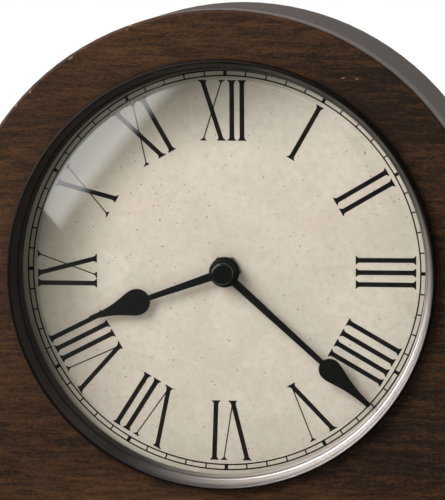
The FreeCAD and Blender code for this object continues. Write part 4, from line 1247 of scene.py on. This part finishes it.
# %% [markdown]
# The screws on the back are pan-head screws with a cross recess, and the solids show their heads
# plain. One screw of each size is modelled standing on the ground: a short cylinder whose front rim
# is bevelled round and whose back is inset and extruded into the shank. Two crossed bars cut the
# recess with the Boolean modifier. A copy goes to every head of the solid, each turned its own way
# as a hand would leave it, and they replace it.

# %% Make one screw of each size
slot_shares = (1.15, 0.26, 1.2)
board_head_height = 1.4
hinge_head_height = 0.8


def cut_bar(shape, size, top, turn):
    """Cuts a slot with the size of a bar into a shape, at a height and a turn."""
    bpy.ops.mesh.primitive_cube_add(size=1, location=(0, 0, top), rotation=(0, 0, turn))
    bar = bpy.context.object
    bar.scale = size
    apply_place()
    bar.select_set(False)
    cut = shape.modifiers.new("slot", "BOOLEAN")
    cut.operation = "DIFFERENCE"
    cut.solver = "EXACT"
    cut.object = bar
    bpy.context.view_layer.objects.active = shape
    bpy.ops.object.modifier_apply(modifier="slot")
    bpy.data.objects.remove(bar)


def cross_screw(name, head, head_height, shank, shank_length):
    """A pan-head screw, head up, with the back of its head on the ground. In millimetres."""
    height = head_height * mm
    bpy.ops.mesh.primitive_cylinder_add(
        vertices=32, radius=head * mm, depth=height, location=(0, 0, height / 2)
    )
    screw = bpy.context.object
    screw.name = name
    apply_place()
    pick(screw, "polygons", lambda face: face.normal.z < -0.9)
    bpy.ops.mesh.inset(thickness=(head - shank) * mm)
    bpy.ops.mesh.extrude_region_move(TRANSFORM_OT_translate={"value": (0, 0, -shank_length * mm)})
    leave_edit()
    rim_height = height - hair
    points = screw.data.vertices
    pick(screw, "edges", lambda edge: min(points[n].co.z for n in edge.vertices) > rim_height)
    bpy.ops.mesh.bevel(offset=height / 2, segments=4, affect="EDGES")
    leave_edit()
    bar = [share * size * mm for share, size in zip(slot_shares, (head, head, head_height))]
    for turn in (0, math.radians(90)):
        cut_bar(screw, bar, height, turn)
    screw.select_set(True)
    bpy.ops.object.shade_smooth_by_angle(angle=math.radians(35))
    screw.select_set(False)
    print(name, "faces:", len(screw.data.polygons))
    return screw


board_screw = cross_screw("board_screw", 2.4, board_head_height, shank=1.4, shank_length=13.9)
hinge_screw = cross_screw("hinge_screw", 1.8, hinge_head_height, shank=1.0, shank_length=4.9)

# %% [markdown]
# A solid that holds several screws has all their heads in one mesh. Vertices on the front of the
# heads that lie close together belong to one head, so the middle of each such group is the screw's
# axis.

# %% Drive the screws
head_reach = 6 * mm
turn_step = 0.7


def head_places(node):
    """The middle of each screw head of a node, across and up."""
    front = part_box(node)[1].y
    heads = []
    for vertex in nodes[node].data.vertices:
        if abs(vertex.co.y - front) > hair:
            continue
        spot = Vector((vertex.co.x, vertex.co.z))
        near = [head for head in heads if (head[0] - spot).length < head_reach]
        if near:
            near[0].append(spot)
        else:
            heads.append([spot])
    middles = []
    for head in heads:
        across = [spot.x for spot in head]
        height = [spot.y for spot in head]
        middles.append(((min(across) + max(across)) / 2, (min(height) + max(height)) / 2))
    return middles


def drive_screws(node, screw, head_height, body, finish):
    """Copies a screw to every head of a node, joins the copies and lets them replace it."""
    head_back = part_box(node)[1].y - head_height * mm
    copies = []
    for n, (x, z) in enumerate(head_places(node)):
        copy = screw.copy()
        copy.data = screw.data.copy()
        bpy.context.collection.objects.link(copy)
        copy.matrix_world = (
            Matrix.Translation((x, head_back, z))
            @ Matrix.Rotation(math.radians(-90), 4, "X")
            @ Matrix.Rotation(n * turn_step, 4, "Z")
        )
        copies.append(copy)
    for copy in copies:
        copy.select_set(True)
    bpy.context.view_layer.objects.active = copies[0]
    apply_place()
    driven = join_pieces(copies, node + "_cross")
    paint(driven, finish)
    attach(driven, body)
    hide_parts(node)


steel = small["zinc_steel"]
screw_brass = small["screw_brass"]
drive_screws("back_board_screws", board_screw, board_head_height, "case", steel)
for node, body in (("hinge_case_screws", "case"), ("hinge_door_screws", "back_door")):
    drive_screws(node, hinge_screw, hinge_head_height, body, screw_brass)
bpy.data.objects.remove(board_screw)
bpy.data.objects.remove(hinge_screw)

# %% [markdown]
# The back of the movement has its battery signs and an arrow for the hands moulded on it, raised
# 0.3 mm and rubbed with grey paint, so that they can be read in the dark case. They are flat filled
# curves with a thickness, like the print on the dial, but they stand on the back and face it.

# %% Mould the signs on the movement
sign_relief = 0.3
sign_bar = 0.9
sign_size = 4.0
sign_x = 21.5
sign_rise = -6.2
arrow_inner = 8.3
arrow_outer = 9.0
arrow_start = 35
arrow_end = 145
arrow_tip_share = 0.14
movement_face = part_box("movement_back")[1].y
knob_low, knob_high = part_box("set_knob")
knob_x = (knob_low.x + knob_high.x) / 2
knob_z = (knob_low.z + knob_high.z) / 2


def plus_outline(arm, half):
    """Corners of a plus sign, going round it."""
    quarter = [(half, arm), (half, half), (arm, half)]
    corners = []
    for _ in range(4):
        corners += quarter
        quarter = [(y, -x) for x, y in quarter]
    return corners


def arrow_outline(start, end, steps=24):
    """Corners of an arc with a pointed end, from one angle to another, in degrees."""
    angles = [math.radians(start + (end - start) * n / steps) for n in range(steps + 1)]
    tip = math.radians(end + (end - start) * arrow_tip_share)
    middle = (arrow_inner + arrow_outer) / 2
    barb = sign_bar * 1.2

    def on_arc(radius, angle):
        return (radius * math.cos(angle), radius * math.sin(angle))

    last = angles[-1]
    head = [on_arc(middle + barb, last), on_arc(middle, tip), on_arc(middle - barb, last)]
    outer = [on_arc(arrow_outer, angle) for angle in angles]
    inner = [on_arc(arrow_inner, angle) for angle in reversed(angles)]
    return outer + head + inner


half_bar = sign_bar / 2
arm = sign_size / 2
minus_outline = [(arm, half_bar), (arm, -half_bar), (-arm, -half_bar), (-arm, half_bar)]
sign_z = axis_z + sign_rise * mm
signs = {
    "plus_sign": (plus_outline(arm, half_bar), sign_x * mm, sign_z),
    "minus_sign": (minus_outline, -sign_x * mm, sign_z),
    "turn_arrow": (arrow_outline(arrow_start, arrow_end), knob_x, knob_z),
}
for name, (outline, x, z) in signs.items():
    sign = flat_shape(name, [outline], sign_relief)
    sign.matrix_world = (
        Matrix.Translation((x, movement_face + sign_relief * mm / 2, z))
        @ Matrix.Rotation(math.radians(180), 4, "Z")
        @ Matrix.Rotation(math.radians(90), 4, "X")
    )
    close_shape(sign)
    paint(sign, small["sign_paint"])
    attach(sign, "case")
print("signs moulded:", list(signs), "on the face at y", round(movement_face, 5))
